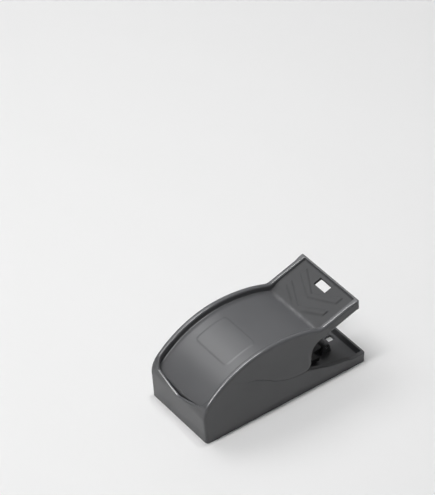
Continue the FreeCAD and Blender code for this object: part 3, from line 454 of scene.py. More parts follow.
def color_mix(nodes, links, factor, first, second):
    """Two colours mixed by a factor; the first is a colour or the socket that gives it."""
    mix = nodes.new("ShaderNodeMix")
    mix.data_type = "RGBA"
    if isinstance(first, bpy.types.NodeSocket):
        links.new(first, mix.inputs["A"])
    else:
        mix.inputs["A"].default_value = (*first, 1)
    mix.inputs["B"].default_value = (*second, 1)
    links.new(factor, mix.inputs["Factor"])
    return mix.outputs["Result"]


def grain_bump(nodes, links, shader, height, depth_mm):
    """Lifts the surface by a height pattern, with its depth in millimetres."""
    bump = nodes.new("ShaderNodeBump")
    bump.inputs["Strength"].default_value = 1.0
    bump.inputs["Distance"].default_value = depth_mm * MM
    links.new(height, bump.inputs["Height"])
    links.new(bump.outputs["Normal"], shader.inputs["Normal"])


def shaded(color, share):
    """A colour made darker or lighter by a share, never past white."""
    return [min(1.0, c * share) for c in color]


def moulded_plastic(name, color, roughness, grain_mm, depth_mm):
    """Moulded plastic: cloudy colour, fine grain as bump, and a roughness that changes with the clouds.

    Where the piece has the share named matte, the surface is rougher, as spark-eroded faces are, and its
    colour is made darker, down to the matte shade.
    """
    material, nodes, links, shader = principled(name, color, roughness)
    clouds = noise_pattern(nodes, links, CLOUD_SCALE, 2.0)
    factor = ramp(nodes, links, clouds, 0.0, 1.0, *CLOUD_RANGE)
    cloudy = color_mix(nodes, links, factor, shaded(color, 1 - CLOUD_TINT), shaded(color, 1 + CLOUD_TINT))
    matte = nodes.new("ShaderNodeAttribute")
    matte.attribute_name = "matte"
    share = matte.outputs["Fac"]
    # where the matte share is set, the colour is darkened, down to MATTE_SHADE of the base colour
    links.new(color_mix(nodes, links, share, cloudy, shaded(color, MATTE_SHADE)), shader.inputs["Base Color"])
    dull = nodes.new("ShaderNodeMath")
    dull.operation = "MULTIPLY_ADD"
    dull.inputs[1].default_value = MATTE_ROUGHER
    links.new(share, dull.inputs[0])
    shine = (roughness - CLOUD_ROUGHER, roughness + CLOUD_ROUGHER)
    links.new(ramp(nodes, links, clouds, *shine, *CLOUD_RANGE), dull.inputs[2])
    links.new(dull.outputs[0], shader.inputs["Roughness"])
    grain = noise_pattern(nodes, links, 1 / (grain_mm * MM), 2.0)
    grain_bump(nodes, links, shader, grain, depth_mm)
    return material


def drawn_steel(name, color, roughness):
    """Drawn steel: streaks along y in colour and roughness, with fine scratches as bump."""
    material, nodes, links, shader = principled(name, color, roughness, metallic=1.0)
    streaks = noise_pattern(nodes, links, STREAK_SCALE, 3.0, STREAK_STRETCH)
    factor = ramp(nodes, links, streaks, 0.0, 1.0)
    streaky = color_mix(nodes, links, factor, shaded(color, 0.8), shaded(color, 1.1))
    links.new(streaky, shader.inputs["Base Color"])
    links.new(ramp(nodes, links, streaks, roughness - 0.08, roughness + 0.1), shader.inputs["Roughness"])
    grain_bump(nodes, links, shader, streaks, STREAK_DEPTH_MM)
    return material


def slot_color(slot):
    """The base colour that the record gives a material slot."""
    found = [m for m in frame["record"]["materials"] if m["slot"] == slot]
    return tuple(found[0]["base_color"])


SHELL_PLASTIC = moulded_plastic("shell_plastic_satin", slot_color("shell_plastic"), 0.25, 0.5, 0.002)
PEDAL_PLASTIC = moulded_plastic("pedal_plastic_matte", slot_color("pedal_plastic"), 0.55, 0.3, 0.015)
CUP_PLASTIC = moulded_plastic("cup_plastic_satin", slot_color("cup_plastic"), 0.4, 0.4, 0.008)
PIN_STEEL = drawn_steel("pin_steel", slot_color("steel_pin"), 0.3)
WIRE_STEEL = drawn_steel("wire_steel", slot_color("steel_wire"), 0.34)
SPRING_STEEL = drawn_steel("spring_steel_wire", slot_color("spring_steel"), 0.38)


# cover

# the window in the handle, the tongue behind the lip, and the rear corner
WINDOW_START = 109.8
WINDOW_END = 115.6
WINDOW_Y = 5.6
TONGUE_X = 1.5
TONGUE_BEND = 2.6
TONGUE_Z = 20.2
SKIRT_ROUND = 0.8
SEAM_ROUND = 0.12
NOTCH_ROUND = 0.35

# the side wall follows the front arc's radii up to one station, then it is ruled to the notch's corners
RADIAL_END = 45.0
RULED = ((80.0, FLAP_CORNER), (83.5, FLAP_REAR), (85.5, NOTCH_FOOT), (91.0, NOTCH_TOP), (101.0, HANDLE_JOIN))

# stretches of stations over which one form passes into the next
SEAM_FADE = (33.0, 36.0)
NOTCH_FADE = (80.0, 83.0)
CEILING_FADE = (93.0, 97.0)
RIM_FADE = (112.0, 117.5)
EDGE_ROUND_END = 116.7
RECESS_END = 118.0
RECESS_SOFT = 0.25

# the panel's crease, which is wavy and lower at the sides, and what is raised on the panel
PANEL_Y = RIM_Y - FILLET
CREASE_X = 90.0
CREASE_REACH = 5.0
CREASE_EXTRA = 1.5
CREASE_RAMP = 9.0
CHEVRON_START = 2.0
WAVE_DEPTH = 0.22
WAVE_LENGTH = 9.6
WAVE_FADE = (14.0, 19.0)
SIDE_DIP = 1.1
SIDE_FADE = (17.0, 23.5)
FLOOR_BLEND = 1.2
CHEVRON_LIFT = 0.85
CHEVRON_SOFT = 0.35
CHEVRONS = ((100.4, 0.48, 103.9, 0.57, 18.2), (89.6, 0.46, 93.0, 0.5, 18.6))
PLAQUE_X = 35.0
PLAQUE_CORE = (9.5, 12.5)
PLAQUE_ROUND = 3.0
PLAQUE_SOFT = 0.45
PLAQUE_LIFT = 0.22


def chevrons(x, y):
    """Height of the two raised chevrons on the handle: bands between V lines, cut off at a reach from y 0."""
    reach = np.abs(y)
    soft = CHEVRON_SOFT
    height = 0.0
    for front, front_slope, rear, rear_slope, end in CHEVRONS:
        start = front + front_slope * reach
        stop = rear + rear_slope * reach
        band = smooth(x, start - soft, start + soft) * (1 - smooth(x, stop - soft, stop + soft))
        height = height + CHEVRON_LIFT * band * (1 - smooth(reach, end - soft, end + soft))
    return height


def plaque(x, y):
    """Height of a plain plaque on the arch: a rounded rectangle with a soft edge."""
    out_x = np.maximum(np.abs(x - PLAQUE_X) - PLAQUE_CORE[0], 0)
    out_y = np.maximum(np.abs(y) - PLAQUE_CORE[1], 0)
    out = np.hypot(out_x, out_y) - PLAQUE_ROUND
    return PLAQUE_LIFT * (1 - smooth(out, -PLAQUE_SOFT, PLAQUE_SOFT))


def panel_depth(x, y):
    """Depth of the panel under the rims: the arch's floor and the handle's, which meet in a wavy crease.

    Each floor is found along the outline's normal: the arch's on a circle, the handle's on a plane that
    dips towards the crease. The shallower one counts, with a soft change between them.
    """
    reach = np.abs(y)
    z, normal = top_line(x)
    across = x - REAR_CENTRE[0]
    up = z - REAR_CENTRE[1]
    outward = across * normal[..., 0] + up * normal[..., 1]
    rest = outward ** 2 - across ** 2 - up ** 2 + (REAR_RADIUS - RECESS) ** 2
    arch = np.where(rest > 0, outward - np.sqrt(np.maximum(rest, 0)), FAR)
    arch = np.where(x < CROWN[0], RECESS, arch)
    slant = math.hypot(1, HANDLE_SLOPE)
    near = 1 - smooth(x, CREASE_X, CREASE_X + CREASE_REACH)
    dip = HANDLE_RECESS + CREASE_EXTRA * (1 - smooth(x, CREASE_X, CREASE_X + CREASE_RAMP))
    wave = WAVE_DEPTH * np.cos(reach * 2 * math.pi / WAVE_LENGTH)
    dip = dip + wave * near * (1 - smooth(reach, *WAVE_FADE))
    dip = dip + SIDE_DIP * smooth(reach, *SIDE_FADE) * near
    above = (z - KINK_Z - HANDLE_SLOPE * (x - KINK_X)) / slant
    handle = (above + dip) * slant / (normal[..., 1] - HANDLE_SLOPE * normal[..., 0])
    handle = np.where(x < CROWN[0], FAR, handle)
    share = np.clip(0.5 + (handle - arch) / FLOOR_BLEND, 0, 1)
    deep = handle * (1 - share) + arch * share - FLOOR_BLEND / 2 * share * (1 - share)
    return deep - chevrons(x, y) * smooth(x, CREASE_X, CREASE_X + CHEVRON_START) - plaque(x, y)


def edge_stations():
    """Top stations, the distances along the cover's lower edge that they are ruled to, and all distances."""
    along = lengths_along(COVER_EDGE)
    out = SEAM_LINE - np.array(FRONT_CENTRE)
    over = CROWN[0] + FRONT_RADIUS * out[:, 0] / np.hypot(*out.T)
    near = over <= RADIAL_END
    nearest = [np.argmin(np.hypot(*(COVER_EDGE - np.array(spot)).T)) for _, spot in RULED]
    stations = np.concatenate([over[near], [station for station, _ in RULED]])
    return stations, np.concatenate([along[:len(SEAM_LINE)][near], along[nearest]]), along


def cover_stations(corner_x):
    """Stations of the cover's rows: even steps between the places where its form changes."""
    tongue_out = (TONGUE_X - FRONT_CENTRE[0]) / (FRONT_RADIUS - RECESS)
    knots = [FRONT_CENTRE[0] + FRONT_RADIUS * tongue_out, SPLIT_X, CROWN[0], BLEND_START, BLEND_END,
             WINDOW_START, WINDOW_END, RECESS_END - 0.5, RECESS_END - 0.1, RECESS_END + 0.3, corner_x]
    knots += [station for station, _ in RULED]
    near_split = SPLIT_X + np.array([0.08, 0.2, 0.35])
    return np.sort(np.concatenate([stepped(sorted(knots), CELL), near_split, [corner_x]]))


def cover_rows():
    """The cover's rows: along the top outline, round the handle's rear corner and down its skirt.

    Each row has its station, its point and normal on top, the point of the lower edge that it is ruled to,
    how deep that edge lies, the roundings of edge and rim, and the depth of the ceiling.
    """
    down = math.atan2(-HANDLE_SKIRT, HANDLE_RAKE)
    rise = math.atan(HANDLE_SLOPE)
    turn = rise - down
    corner_x = HANDLE_END - SKIRT_ROUND * math.tan(turn / 2) * math.cos(rise)
    x = cover_stations(corner_x)
    z, normal = top_line(x)
    top = np.stack([x, z], -1)
    split = int(np.argmin(np.abs(x - SPLIT_X)))

    # the last row's edge lies where the skirt's own line meets the handle's lower edge
    centre = top[-1] - normal[-1] * SKIRT_ROUND
    skirt_way = np.array([math.cos(down), math.sin(down)])
    join = np.array(HANDLE_JOIN)
    foot = np.array(HANDLE_LOW)
    across = np.array([join[1] - foot[1], foot[0] - join[0]])
    low = centre + skirt_way * (np.dot(join - centre, across) / np.dot(skirt_way, across))
    stations, distances, along = edge_stations()
    stations = np.append(stations, corner_x)
    distances = np.append(distances, along[-1] - math.hypot(*(foot - low)))
    edge = at_distance(COVER_EDGE, along, np.interp(x, stations, distances))
    edge[-1] = low
    edge[:split] = top[:split]
    edge_depth = np.where(x <= RADIAL_END, np.hypot(*(top - edge).T), FAR)
    edge_depth[:split + 1] = 0.0

    # the edge is sharp on the hidden part of the split and rounder along the notch
    edge_round = SEAM_ROUND * smooth(x, *SEAM_FADE) + NOTCH_ROUND * smooth(x, *NOTCH_FADE)
    edge_round *= 1 - smooth(x, EDGE_ROUND_END, corner_x)
    rim_round = RIM_ROUND + (SKIRT_ROUND - RIM_ROUND) * smooth(x, *RIM_FADE)
    ceiling = (RECESS + ROOF) + (HANDLE_RECESS - RECESS) * smooth(x, *CEILING_FADE)

    # corner and skirt
    angle = math.atan2(normal[-1][1], normal[-1][0]) - np.linspace(0, turn, CORNER_ROWS + 1)[1:]
    corner_normal = np.stack([np.cos(angle), np.sin(angle)], -1)
    skirt_share = np.concatenate([np.linspace(1, 0, SIDE_ROWS + 1)[1:], np.zeros(EDGE_ROWS)])
    skirt_normal = np.repeat(corner_normal[-1:], len(skirt_share), 0)
    skirt_top = low + (centre - low) * skirt_share[:, None] + skirt_normal * SKIRT_ROUND
    extra = CORNER_ROWS + len(skirt_share)

    def held(values):
        """The values of the rows on top, with the last one held for corner and skirt."""
        return np.concatenate([values, np.repeat(values[-1:], extra, 0)])

    return SimpleNamespace(
        x=held(x), split=split, last=len(x) - 1, count=len(x) + extra, skirt_share=skirt_share,
        top=np.concatenate([top, centre + corner_normal * SKIRT_ROUND, skirt_top]),
        normal=np.concatenate([normal, corner_normal, skirt_normal]),
        edge=held(edge), edge_depth=held(edge_depth), edge_round=held(edge_round),
        rim_round=held(rim_round), ceiling=held(ceiling))


def cover_profile(rows, recess, deep):
    """Half profile from the side to the panel, as y and depth, and how far out y may lie in each row.

    It runs over the outer round, the rim's top, its inner round, the wall and the fillet at its foot. The
    share called recess takes all but the outer round back to nothing where the recess ends.
    """
    r = rows.rim_round[:, None]
    outer = quarter(OUTER_ROWS)
    flat = np.linspace(0, 1, TOP_ROWS + 1)[1:]
    inner = quarter(INNER_ROWS)[1:]
    wall = np.linspace(0, 1, WALL_ROWS + 1)[1:]
    fillet = quarter(FILLET_ROWS)[1:-1]
    wall_top = RIM_INNER_ROUND * recess
    wall_low = deep - FILLET * recess
    parts = [(HALF_WIDTH - r * (1 - np.cos(outer)), r * (1 - np.sin(outer))),
             ((HALF_WIDTH - r) * (1 - flat) + (RIM_Y + RIM_INNER_ROUND) * flat, 0.0),
             (RIM_Y + RIM_INNER_ROUND * (1 - np.sin(inner)), RIM_INNER_ROUND * (1 - np.cos(inner)) * recess),
             (RIM_Y, wall_top + (wall_low - wall_top) * wall),
             (RIM_Y - FILLET * (1 - np.cos(fillet)), wall_low + FILLET * recess * np.sin(fillet))]
    y, depth = (np.concatenate(part, 1) for part in zip(*(np.broadcast_arrays(*pair) for pair in parts)))

    # behind the split's top the rim ends at the split, as deep and as far out as the split lies there
    edge_depth = rows.edge_depth[:, None]
    y_limit = HALF_WIDTH - r + np.sqrt(r ** 2 - np.clip(r - edge_depth, 0, r) ** 2)
    ends_at = np.where(rows.x[:, None] < SPLIT_X - 1e-6, FAR, edge_depth)
    walls = RIM_COLUMNS + WALL_ROWS
    depth[:, :walls] = np.minimum(depth[:, :walls], ends_at)
    return np.minimum(y, y_limit), depth, y_limit


def cover_side(rows, y_limit):
    """Side wall, ruled from the lower edge, whose corner is rounded, up to the end of the rim's round."""
    start = rows.top - rows.normal * np.minimum(rows.rim_round, rows.edge_depth)[:, None]
    way = start - rows.edge
    size = np.hypot(*way.T)
    unit = way / np.maximum(size, 1e-9)[:, None]
    small = np.minimum(rows.edge_round, 0.3 * size)[:, None]
    turn = quarter(EDGE_ROWS)[::-1]
    bottom = rows.edge[:, None] + unit[:, None] * (small * (1 - np.sin(turn)))[..., None]
    bottom_y = np.minimum(HALF_WIDTH - small * (1 - np.cos(turn)), y_limit)
    share = np.linspace(0, 1, SIDE_ROWS + 1)[1:-1, None]
    rise = bottom[:, -1:] + (start - bottom[:, -1])[:, None] * share
    side_y = np.concatenate([bottom_y, np.repeat(y_limit, SIDE_ROWS - 1, 1)], 1)
    return with_y(np.concatenate([bottom, rise], 1), side_y)


def cover_inside(rows, y_limit, panel_y):
    """Inside of the cover: side walls a skin further in, and one ceiling under rims and panel."""
    number = np.arange(rows.count)
    rear_x = HANDLE_END - REAR_WALL
    ceiling = rows.top - rows.normal * rows.ceiling[:, None]
    corner = np.array([rear_x, np.interp(rear_x, *ceiling[:rows.last + 1].T)])
    foot = np.array([rear_x + HANDLE_RAKE, HANDLE_LOW[1]])
    beyond = (ceiling[:, 0] > rear_x) | (number > rows.last)
    ceiling[beyond] = corner
    ceiling[number > rows.last + CORNER_ROWS] = foot + (corner - foot) * rows.skirt_share[:, None]
    rim = rows.top - rows.normal * np.minimum(rows.ceiling, rows.edge_depth)[:, None]
    rim[beyond] = ceiling[beyond]
    edge = rows.edge.copy()
    edge[rows.last] = foot
    rise = np.concatenate([np.zeros(EDGE_ROWS), np.linspace(0, 1, SIDE_ROWS + 1)[:-1]])[:, None]
    limit = np.minimum(INNER_Y, y_limit)
    rim_y = limit + (RIM_Y - limit) * np.linspace(0, 1, RIM_COLUMNS)
    well_y = np.linspace(RIM_Y, PANEL_Y, WALL_ROWS + FILLET_ROWS)[:-1]
    half = np.concatenate([with_y(edge[:, None] + (rim - edge)[:, None] * rise, limit),
                           with_y(rim[:, None], rim_y), with_y(ceiling[:, None], well_y)], 1)
    return whole(half, with_y(ceiling[:, None], panel_y))


def cover_cells(rows, outer):
    """Kept cells and sewn points: no rims on the tongue, no sides on the skirt, a window in the handle."""
    columns = outer.shape[1]
    from_side = np.minimum(np.arange(columns - 1), np.arange(columns - 1)[::-1])
    kept = np.ones((rows.count - 1, columns - 1), bool)
    kept[:rows.split, from_side < SIDE_COLUMNS + RIM_COLUMNS + WALL_ROWS] = False
    kept[rows.last:, from_side < SIDE_COLUMNS] = False
    middle_x = ((rows.x[:-1] + rows.x[1:]) / 2)[:, None]
    middle_y = (outer[:-1, :-1, 1] + outer[1:, 1:, 1]) / 2
    kept &= ~((middle_x > WINDOW_START) & (middle_x < WINDOW_END) & (np.abs(middle_y) < WINDOW_Y))
    from_side = np.minimum(np.arange(columns), np.arange(columns)[::-1])
    sewn = np.zeros((rows.count, columns), bool)
    sewn[rows.last, from_side <= SIDE_COLUMNS] = True
    sewn[rows.last:, from_side == SIDE_COLUMNS] = True
    return kept, sewn


def tongue(outer, inner, normal):
    """Rows in front of the cover's first row: an arc down and a straight drop, behind the lip of the nose."""
    centre = outer[0, outer.shape[1] // 2, ::2] - TONGUE_BEND * normal
    turns = np.linspace(math.atan2(normal[1], normal[0]), math.pi, TONGUE_ROWS + 1)[1:]
    rounds = np.concatenate([turns, np.full(TONGUE_ROWS - 1, math.pi)])
    drop = np.concatenate([np.zeros(TONGUE_ROWS), np.linspace(0, centre[1] - TONGUE_Z, TONGUE_ROWS)[1:]])
    fronts = []
    for grid, reach in ((outer, TONGUE_BEND), (inner, TONGUE_BEND - ROOF)):
        line = centre + reach * np.stack([np.cos(rounds), np.sin(rounds)], -1)
        line[:, 1] -= drop
        fronts.append(with_y(line[::-1, None], grid[0, :, 1]))
    return fronts


def cover_grids():
    """The cover: a rim, wall and panel profile carried along the top outline, over the rear and down."""
    rows = cover_rows()
    recess = (1 - smooth(rows.x, RECESS_END - RECESS_SOFT, RECESS_END + RECESS_SOFT))[:, None]
    recess[rows.last:] = 0.0
    panel_y = np.linspace(-PANEL_Y, PANEL_Y, 2 * round(PANEL_Y / CELL) + 1)
    for side in (-1, 1):
        panel_y[np.argmin(np.abs(panel_y - side * WINDOW_Y))] = side * WINDOW_Y
    deep = panel_depth(rows.x[:, None], panel_y[None]) * recess
    half_y, half_depth, y_limit = cover_profile(rows, recess, deep[:, -1:])

    def carried(y, depth):
        """Points at a depth under the top outline."""
        return with_y(rows.top[:, None] - rows.normal[:, None] * depth[..., None], y)

    half = np.concatenate([cover_side(rows, y_limit), carried(half_y, half_depth)], 1)
    outer = whole(half, carried(panel_y, deep))
    inner = cover_inside(rows, y_limit, panel_y)
    kept, sewn = cover_cells(rows, outer)
    fronts = tongue(outer, inner, rows.normal[0])
    extra = len(fronts[0])
    kept = np.concatenate([np.repeat(kept[:1], extra, 0), kept])
    sewn = np.concatenate([np.zeros((extra, sewn.shape[1]), bool), sewn])
    return [(np.concatenate([fronts[0], outer]), np.concatenate([fronts[1], inner]), kept, sewn)]


# gussets, sear arm and kill bar bosses inside the cover
HUB = 3.3
WEB_FRONT = 5.7
SEAR_REAR = 12.3
GUSSET_REAR = 24.0
GUSSET_Y = np.array([19.5, 22.5])
SEAR_HALF = 2.0
NECK_Z = 22.35
TOOTH_REACH = 13.0
TOOTH_ANGLES = (75.8, 73.8, 71.8, 69.8)
BAR_BOSS = (68.0, 20.0)
BAR_BOSS_Z = (39.5, 47.5)
BAR_BOSS_RADIUS = 3.0


def roof_line(x):
    """Stations on the middle of the panel's thickness over the front of the arch."""
    radius = FRONT_RADIUS - RECESS - ROOF / 2
    return list(zip(x, FRONT_CENTRE[1] + np.sqrt(radius ** 2 - (np.array(x) - FRONT_CENTRE[0]) ** 2)))


def cover_solids():
    """What stands inside the cover: two gussets with bosses, the sear arm and the bosses of the kill bar."""
    px, pz = PIVOT
    roof = roof_line((GUSSET_REAR, 20.0, 16.0, SEAR_REAR, px, WEB_FRONT))
    gusset = [(WEB_FRONT, pz), (px, 20.7), (20.5, 19.0), (GUSSET_REAR, pz)] + roof
    arm = np.radians(TOOTH_ANGLES)
    tooth = [(px + TOOTH_REACH * math.cos(a), pz - TOOTH_REACH * math.sin(a)) for a in arm]
    sear = [(WEB_FRONT, pz), (8.3, NECK_Z)] + tooth + [(10.8, NECK_Z), (SEAR_REAR, pz)] + roof[3:]
    solids = [plate(sear, PIVOT, PIN_BORE, HUB, (-SEAR_HALF, SEAR_HALF))]
    boss_x, boss_y = BAR_BOSS
    for side in (-1, 1):
        solids.append(plate(gusset, PIVOT, PIN_BORE, HUB, side * GUSSET_Y))
        low, high = ((boss_x, side * boss_y, z) for z in BAR_BOSS_Z)
        solids.append(tube(np.linspace(low, high, 5), BAR_BOSS_RADIUS, 32))
    return solids


def matte_share(x, y):
    """How matte the cover is: not on rims and sides, a little on the panel, fully on the handle's floor."""
    inside = (np.abs(y) < RIM_Y - 0.1) & (x < HANDLE_END - 1.5)
    return inside * (0.12 + 0.88 * smooth(x, CREASE_X - 1, CREASE_X + 2))


def make_cover():
    """The cover with its panel, rims, flaps and handle in one moulding."""
    mesh = shell_mesh("cover_shell", cover_grids(), cover_solids())
    paint(mesh, "matte", matte_share)
    cover = finish_piece(mesh, SHELL_PLASTIC)
    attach(cover, "cover")
    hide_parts("cover")


# base

LIP = ((0.0, 20.4), (21.5, 27.0), (SLOT_Y, 33.0))
LIP_ROUND = 1.0
LIP_BACK = 0.8
FRONT_ROWS = 36
LIP_ROWS = 4
RIM_ROWS = 14
FACE_COLUMNS = 20
BLOCK_COLUMNS = 24
TROUGH_CELL = 1.1
SEAM_OPENING = (32.5, 37.0)
RIM_DEEPENS = (21.5, 26.0)

# the side wall's top from the flap's corner to the tail, its roundings, and the tail
WALL_TOPS = ((82.9, 16.6), (97.6, 11.4), (105.8, 9.6), (111.3, 8.7), (112.4, 8.4), (113.3, 7.9),
             (114.1, 7.4), (115.0, 7.1), (TAIL_END, 7.1))
SEAM_EDGE = 0.1
WALL_EDGE_FADE = (79.5, 83.0)
WALL_LIP = 0.35
WALL_FOOT = 0.7
WALL_FOOT_FADE = (32.0, 36.0)
TAIL_RIM_Y = HALF_WIDTH - 3.0
TAIL_RIM_FADE = (81.6, 83.2)
TAIL_CORNER = 2.0
TAIL_ROUND = 0.6
TAIL_WALL = 1.6
REAR_EDGE = TAIL_END - TAIL_WALL
TAIL_WINDOW = (TAIL_END - 6.6, 2.6, 2.5)

# the innermost columns keep their y up to the tail, so that the window has a straight edge
STRAIGHT_COLUMNS = 5

NOSE_X = NOSE_RADIUS - NOSE_BULGE
NOSE_REACH = FRONT_RADIUS - NOSE_RADIUS
NOSE_Z = FRONT_CENTRE[1] + math.sqrt(NOSE_REACH ** 2 - (CROWN[0] - NOSE_X) ** 2)


def seam_drop(x):
    """How far the base stays under the cover at the split: a hair where it is hidden, then the seam's gap."""
    return SEAM_HAIR + (SEAM_GAP - SEAM_HAIR) * smooth(x, *SEAM_OPENING)


def wall_height(x):
    """Top of the base's side wall at x: the split, then straight falls to the tail's rim."""
    line = np.concatenate([SEAM_LINE, np.array(WALL_TOPS)])
    drop = np.concatenate([seam_drop(SEAM_LINE[:, 0]), np.zeros(len(WALL_TOPS))])
    return np.interp(x, line[:, 0], line[:, 1] - drop)


def nose_outline():
    """The front outline from the ground up: a straight, the nose arc and the front arc, with its normals."""
    reach = NOSE_X ** 2 + NOSE_Z ** 2
    straight = math.sqrt(reach - NOSE_RADIUS ** 2)
    along = np.array([NOSE_X * straight - NOSE_Z * NOSE_RADIUS, NOSE_Z * straight + NOSE_X * NOSE_RADIUS])
    along /= reach
    line = along * straight * np.linspace(0, 1, 60)[:-1, None]
    line_normal = np.repeat([[-along[1], along[0]]], len(line), 0)
    first = math.atan2(along[0], -along[1]) % (2 * math.pi)
    meet = math.atan2(NOSE_Z - FRONT_CENTRE[1], NOSE_X - FRONT_CENTRE[0])
    last = math.acos((front_x(SEAM_TOP_Z - seam_drop(0.0)) - FRONT_CENTRE[0]) / FRONT_RADIUS)
    angles = np.linspace(first, meet, 80)[:-1]
    nose_normal = np.stack([np.cos(angles), np.sin(angles)], 1)
    angles = np.linspace(meet, last, 60)
    arch_normal = np.stack([np.cos(angles), np.sin(angles)], 1)
    points = np.concatenate([line, np.array([NOSE_X, NOSE_Z]) + NOSE_RADIUS * nose_normal,
                             np.array(FRONT_CENTRE) + FRONT_RADIUS * arch_normal])
    return points, np.concatenate([line_normal, nose_normal, arch_normal]), lengths_along(points)


def nose_profile():
    """Half profile across the nose: y, depths with and without the rim's inner side, and y on the face.

    It runs over the side's round, the rim's top, its inner round and inner wall. The lip closes the rims:
    below it the profile stays flat behind the rim's top.
    """
    outer = quarter(OUTER_ROWS)
    inner = quarter(INNER_ROWS)[1:]
    flat = np.linspace(HALF_WIDTH - RIM_ROUND, SLOT_Y + RIM_INNER_ROUND, TOP_ROWS + 1)[1:]
    y = np.concatenate([HALF_WIDTH - RIM_ROUND * (1 - np.cos(outer)), flat,
                        SLOT_Y + RIM_INNER_ROUND * (1 - np.sin(inner)), np.full(WALL_ROWS, SLOT_Y)])
    rim = np.concatenate([RIM_ROUND * (1 - np.sin(outer)), np.zeros(TOP_ROWS)])
    opened = np.concatenate([rim, RIM_INNER_ROUND * (1 - np.cos(inner)),
                             np.linspace(RIM_INNER_ROUND, RECESS + ROOF, WALL_ROWS + 1)[1:]])
    shut = np.concatenate([rim, np.zeros(INNER_ROWS + WALL_ROWS)])
    face = np.linspace(SLOT_Y, 0, FACE_COLUMNS + 1)
    face[np.argmin(np.abs(face - TAIL_WINDOW[2]))] = TAIL_WINDOW[2]
    return y, opened, shut, face


def inside_profile():
    """The half profile's y inside the nose: from the side wall's inner face to the slot."""
    return np.concatenate([np.linspace(INNER_Y, SLOT_Y, RIM_COLUMNS), np.full(WALL_ROWS, SLOT_Y)])


def nose_face():
    """Face and rims of the nose: rows up the face to the lip, round its edge, then up the rims."""
    points, normals, along = nose_outline()
    half_y, opened, shut, face = nose_profile()
    face_y = np.concatenate([-face, face[::-1][1:]])
    level = np.zeros(len(face_y))
    y = both_sides(half_y, face_y, -1)

    # how far up the outline each point lies
    reach = np.interp(np.interp(np.abs(y), *zip(*LIP)), points[:, 1], along) - LIP_ROUND
    rim_start = np.interp(LIP[-1][1], points[:, 1], along)
    turn = quarter(LIP_ROWS)[1:]
    up_rims = np.linspace(rim_start, along[-1], RIM_ROWS + 1)[:, None]
    distance = np.concatenate([np.linspace(0, 1, FRONT_ROWS + 1)[:, None] * reach,
                               reach + LIP_ROUND * np.sin(turn)[:, None], np.repeat(up_rims, len(y), 1)])
    spot = at_distance(points, along, distance)
    out = at_distance(normals, along, distance)
    out /= np.linalg.norm(out, axis=-1, keepdims=True)

    # near the split the depth leans back, so that the rim's end lies on the split
    split_way = SEAM_LINE[4] - SEAM_LINE[0]
    end_normal = normals[-1]
    lean = np.dot(split_way, [end_normal[1], -end_normal[0]]) / np.dot(split_way, -end_normal)
    way = np.stack([out[..., 1], -out[..., 0]], -1)
    tilt = (lean * smooth(distance, rim_start, along[-1]))[..., None]

    def under(depth):
        """Points at a depth under the outline."""
        depth = depth[..., None]
        return spot - out * depth + way * tilt * depth

    rows = len(distance)
    lip_row = FRONT_ROWS + LIP_ROWS
    is_open = (np.arange(rows) > lip_row)[:, None]
    rounded = np.concatenate([np.zeros(FRONT_ROWS + 1), LIP_ROUND * (1 - np.cos(turn)),
                              np.full(RIM_ROWS + 1, LIP_ROUND)])[:, None]
    on_face = both_sides(np.zeros(len(half_y)), level + 1)
    depth = np.where(is_open, both_sides(opened, level), both_sides(shut, level)) + rounded * on_face
    outer_xz = under(depth)
    outer_xz[0, :, 1] = 0.0

    # inside, the wall is a skin thick behind the face and as deep as the recess behind the rims
    rim_deep = SKIN + (RECESS + ROOF - SKIN) * smooth(spot[..., 1], *RIM_DEEPENS)
    half_share = np.concatenate([np.zeros(RIM_COLUMNS), np.linspace(0, 1, WALL_ROWS + 1)[1:]])
    share = np.where(is_open, 0.0, both_sides(half_share, level + 1))
    inner_xz = under(rim_deep * (1 - share) + (SKIN - LIP_BACK * rounded) * share)
    inner_xz[..., 1] = np.maximum(inner_xz[..., 1], FLOOR)
    inner_xz[0, :, 1] = FLOOR
    kept = np.ones((rows - 1, len(y) - 1), bool)
    kept[lip_row:, len(half_y) - 1:len(y) - len(half_y)] = False
    sewn = np.zeros((rows, len(y)), bool)
    sewn[:, [0, -1]] = True
    sewn[0] = True
    return with_y(outer_xz, y), with_y(inner_xz, both_sides(inside_profile(), face_y, -1)), kept, sewn


def patch(left, right, bottom, top, share):
    """A surface from four edges: the blend of left and right, plus that of bottom and top, less corners."""
    u = np.linspace(0, 1, len(bottom))[None, :, None]
    v = share[:, None, None]
    ruled = left[:, None] * (1 - u) + right[:, None] * u
    crossed = bottom[None] * (1 - v) + top[None] * v
    corners = (left[0] * (1 - u) + right[0] * u) * (1 - v) + (left[-1] * (1 - u) + right[-1] * u) * v
    return ruled + crossed - corners


def nose_sides(outer, inner, rise):
    """Sides of the nose: patches between its edge, the ground, the split and a plumb line at the shoulder."""
    shoulder_x = SHOULDER[0]
    across = np.linspace(0, 1, BLOCK_COLUMNS + 1)
    sheets = []
    for grid, low in ((outer, 0.0), (inner, FLOOR)):
        left = grid[:, 0, ::2]
        share = (left[:, 1] - low) / (left[-1, 1] - low)
        right = np.stack([np.full(len(left), shoulder_x), low + rise * (wall_height(shoulder_x) - low)], -1)
        bottom = left[0] + (right[0] - left[0]) * across[:, None]
        top_x = left[-1, 0] + (shoulder_x - left[-1, 0]) * across
        top = np.stack([top_x, wall_height(top_x)], -1)
        top[0] = left[-1]
        sheets.append(patch(left, right, bottom, top, share))
    sewn = np.ones(sheets[0].shape[:2], bool)
    sewn[-1, 1:-1] = False
    kept = np.ones((sewn.shape[0] - 1, BLOCK_COLUMNS), bool)
    return [(with_y(sheets[0], side * HALF_WIDTH)[::side], with_y(sheets[1], side * INNER_Y)[::side],
             kept, sewn[::side]) for side in (-1, 1)]


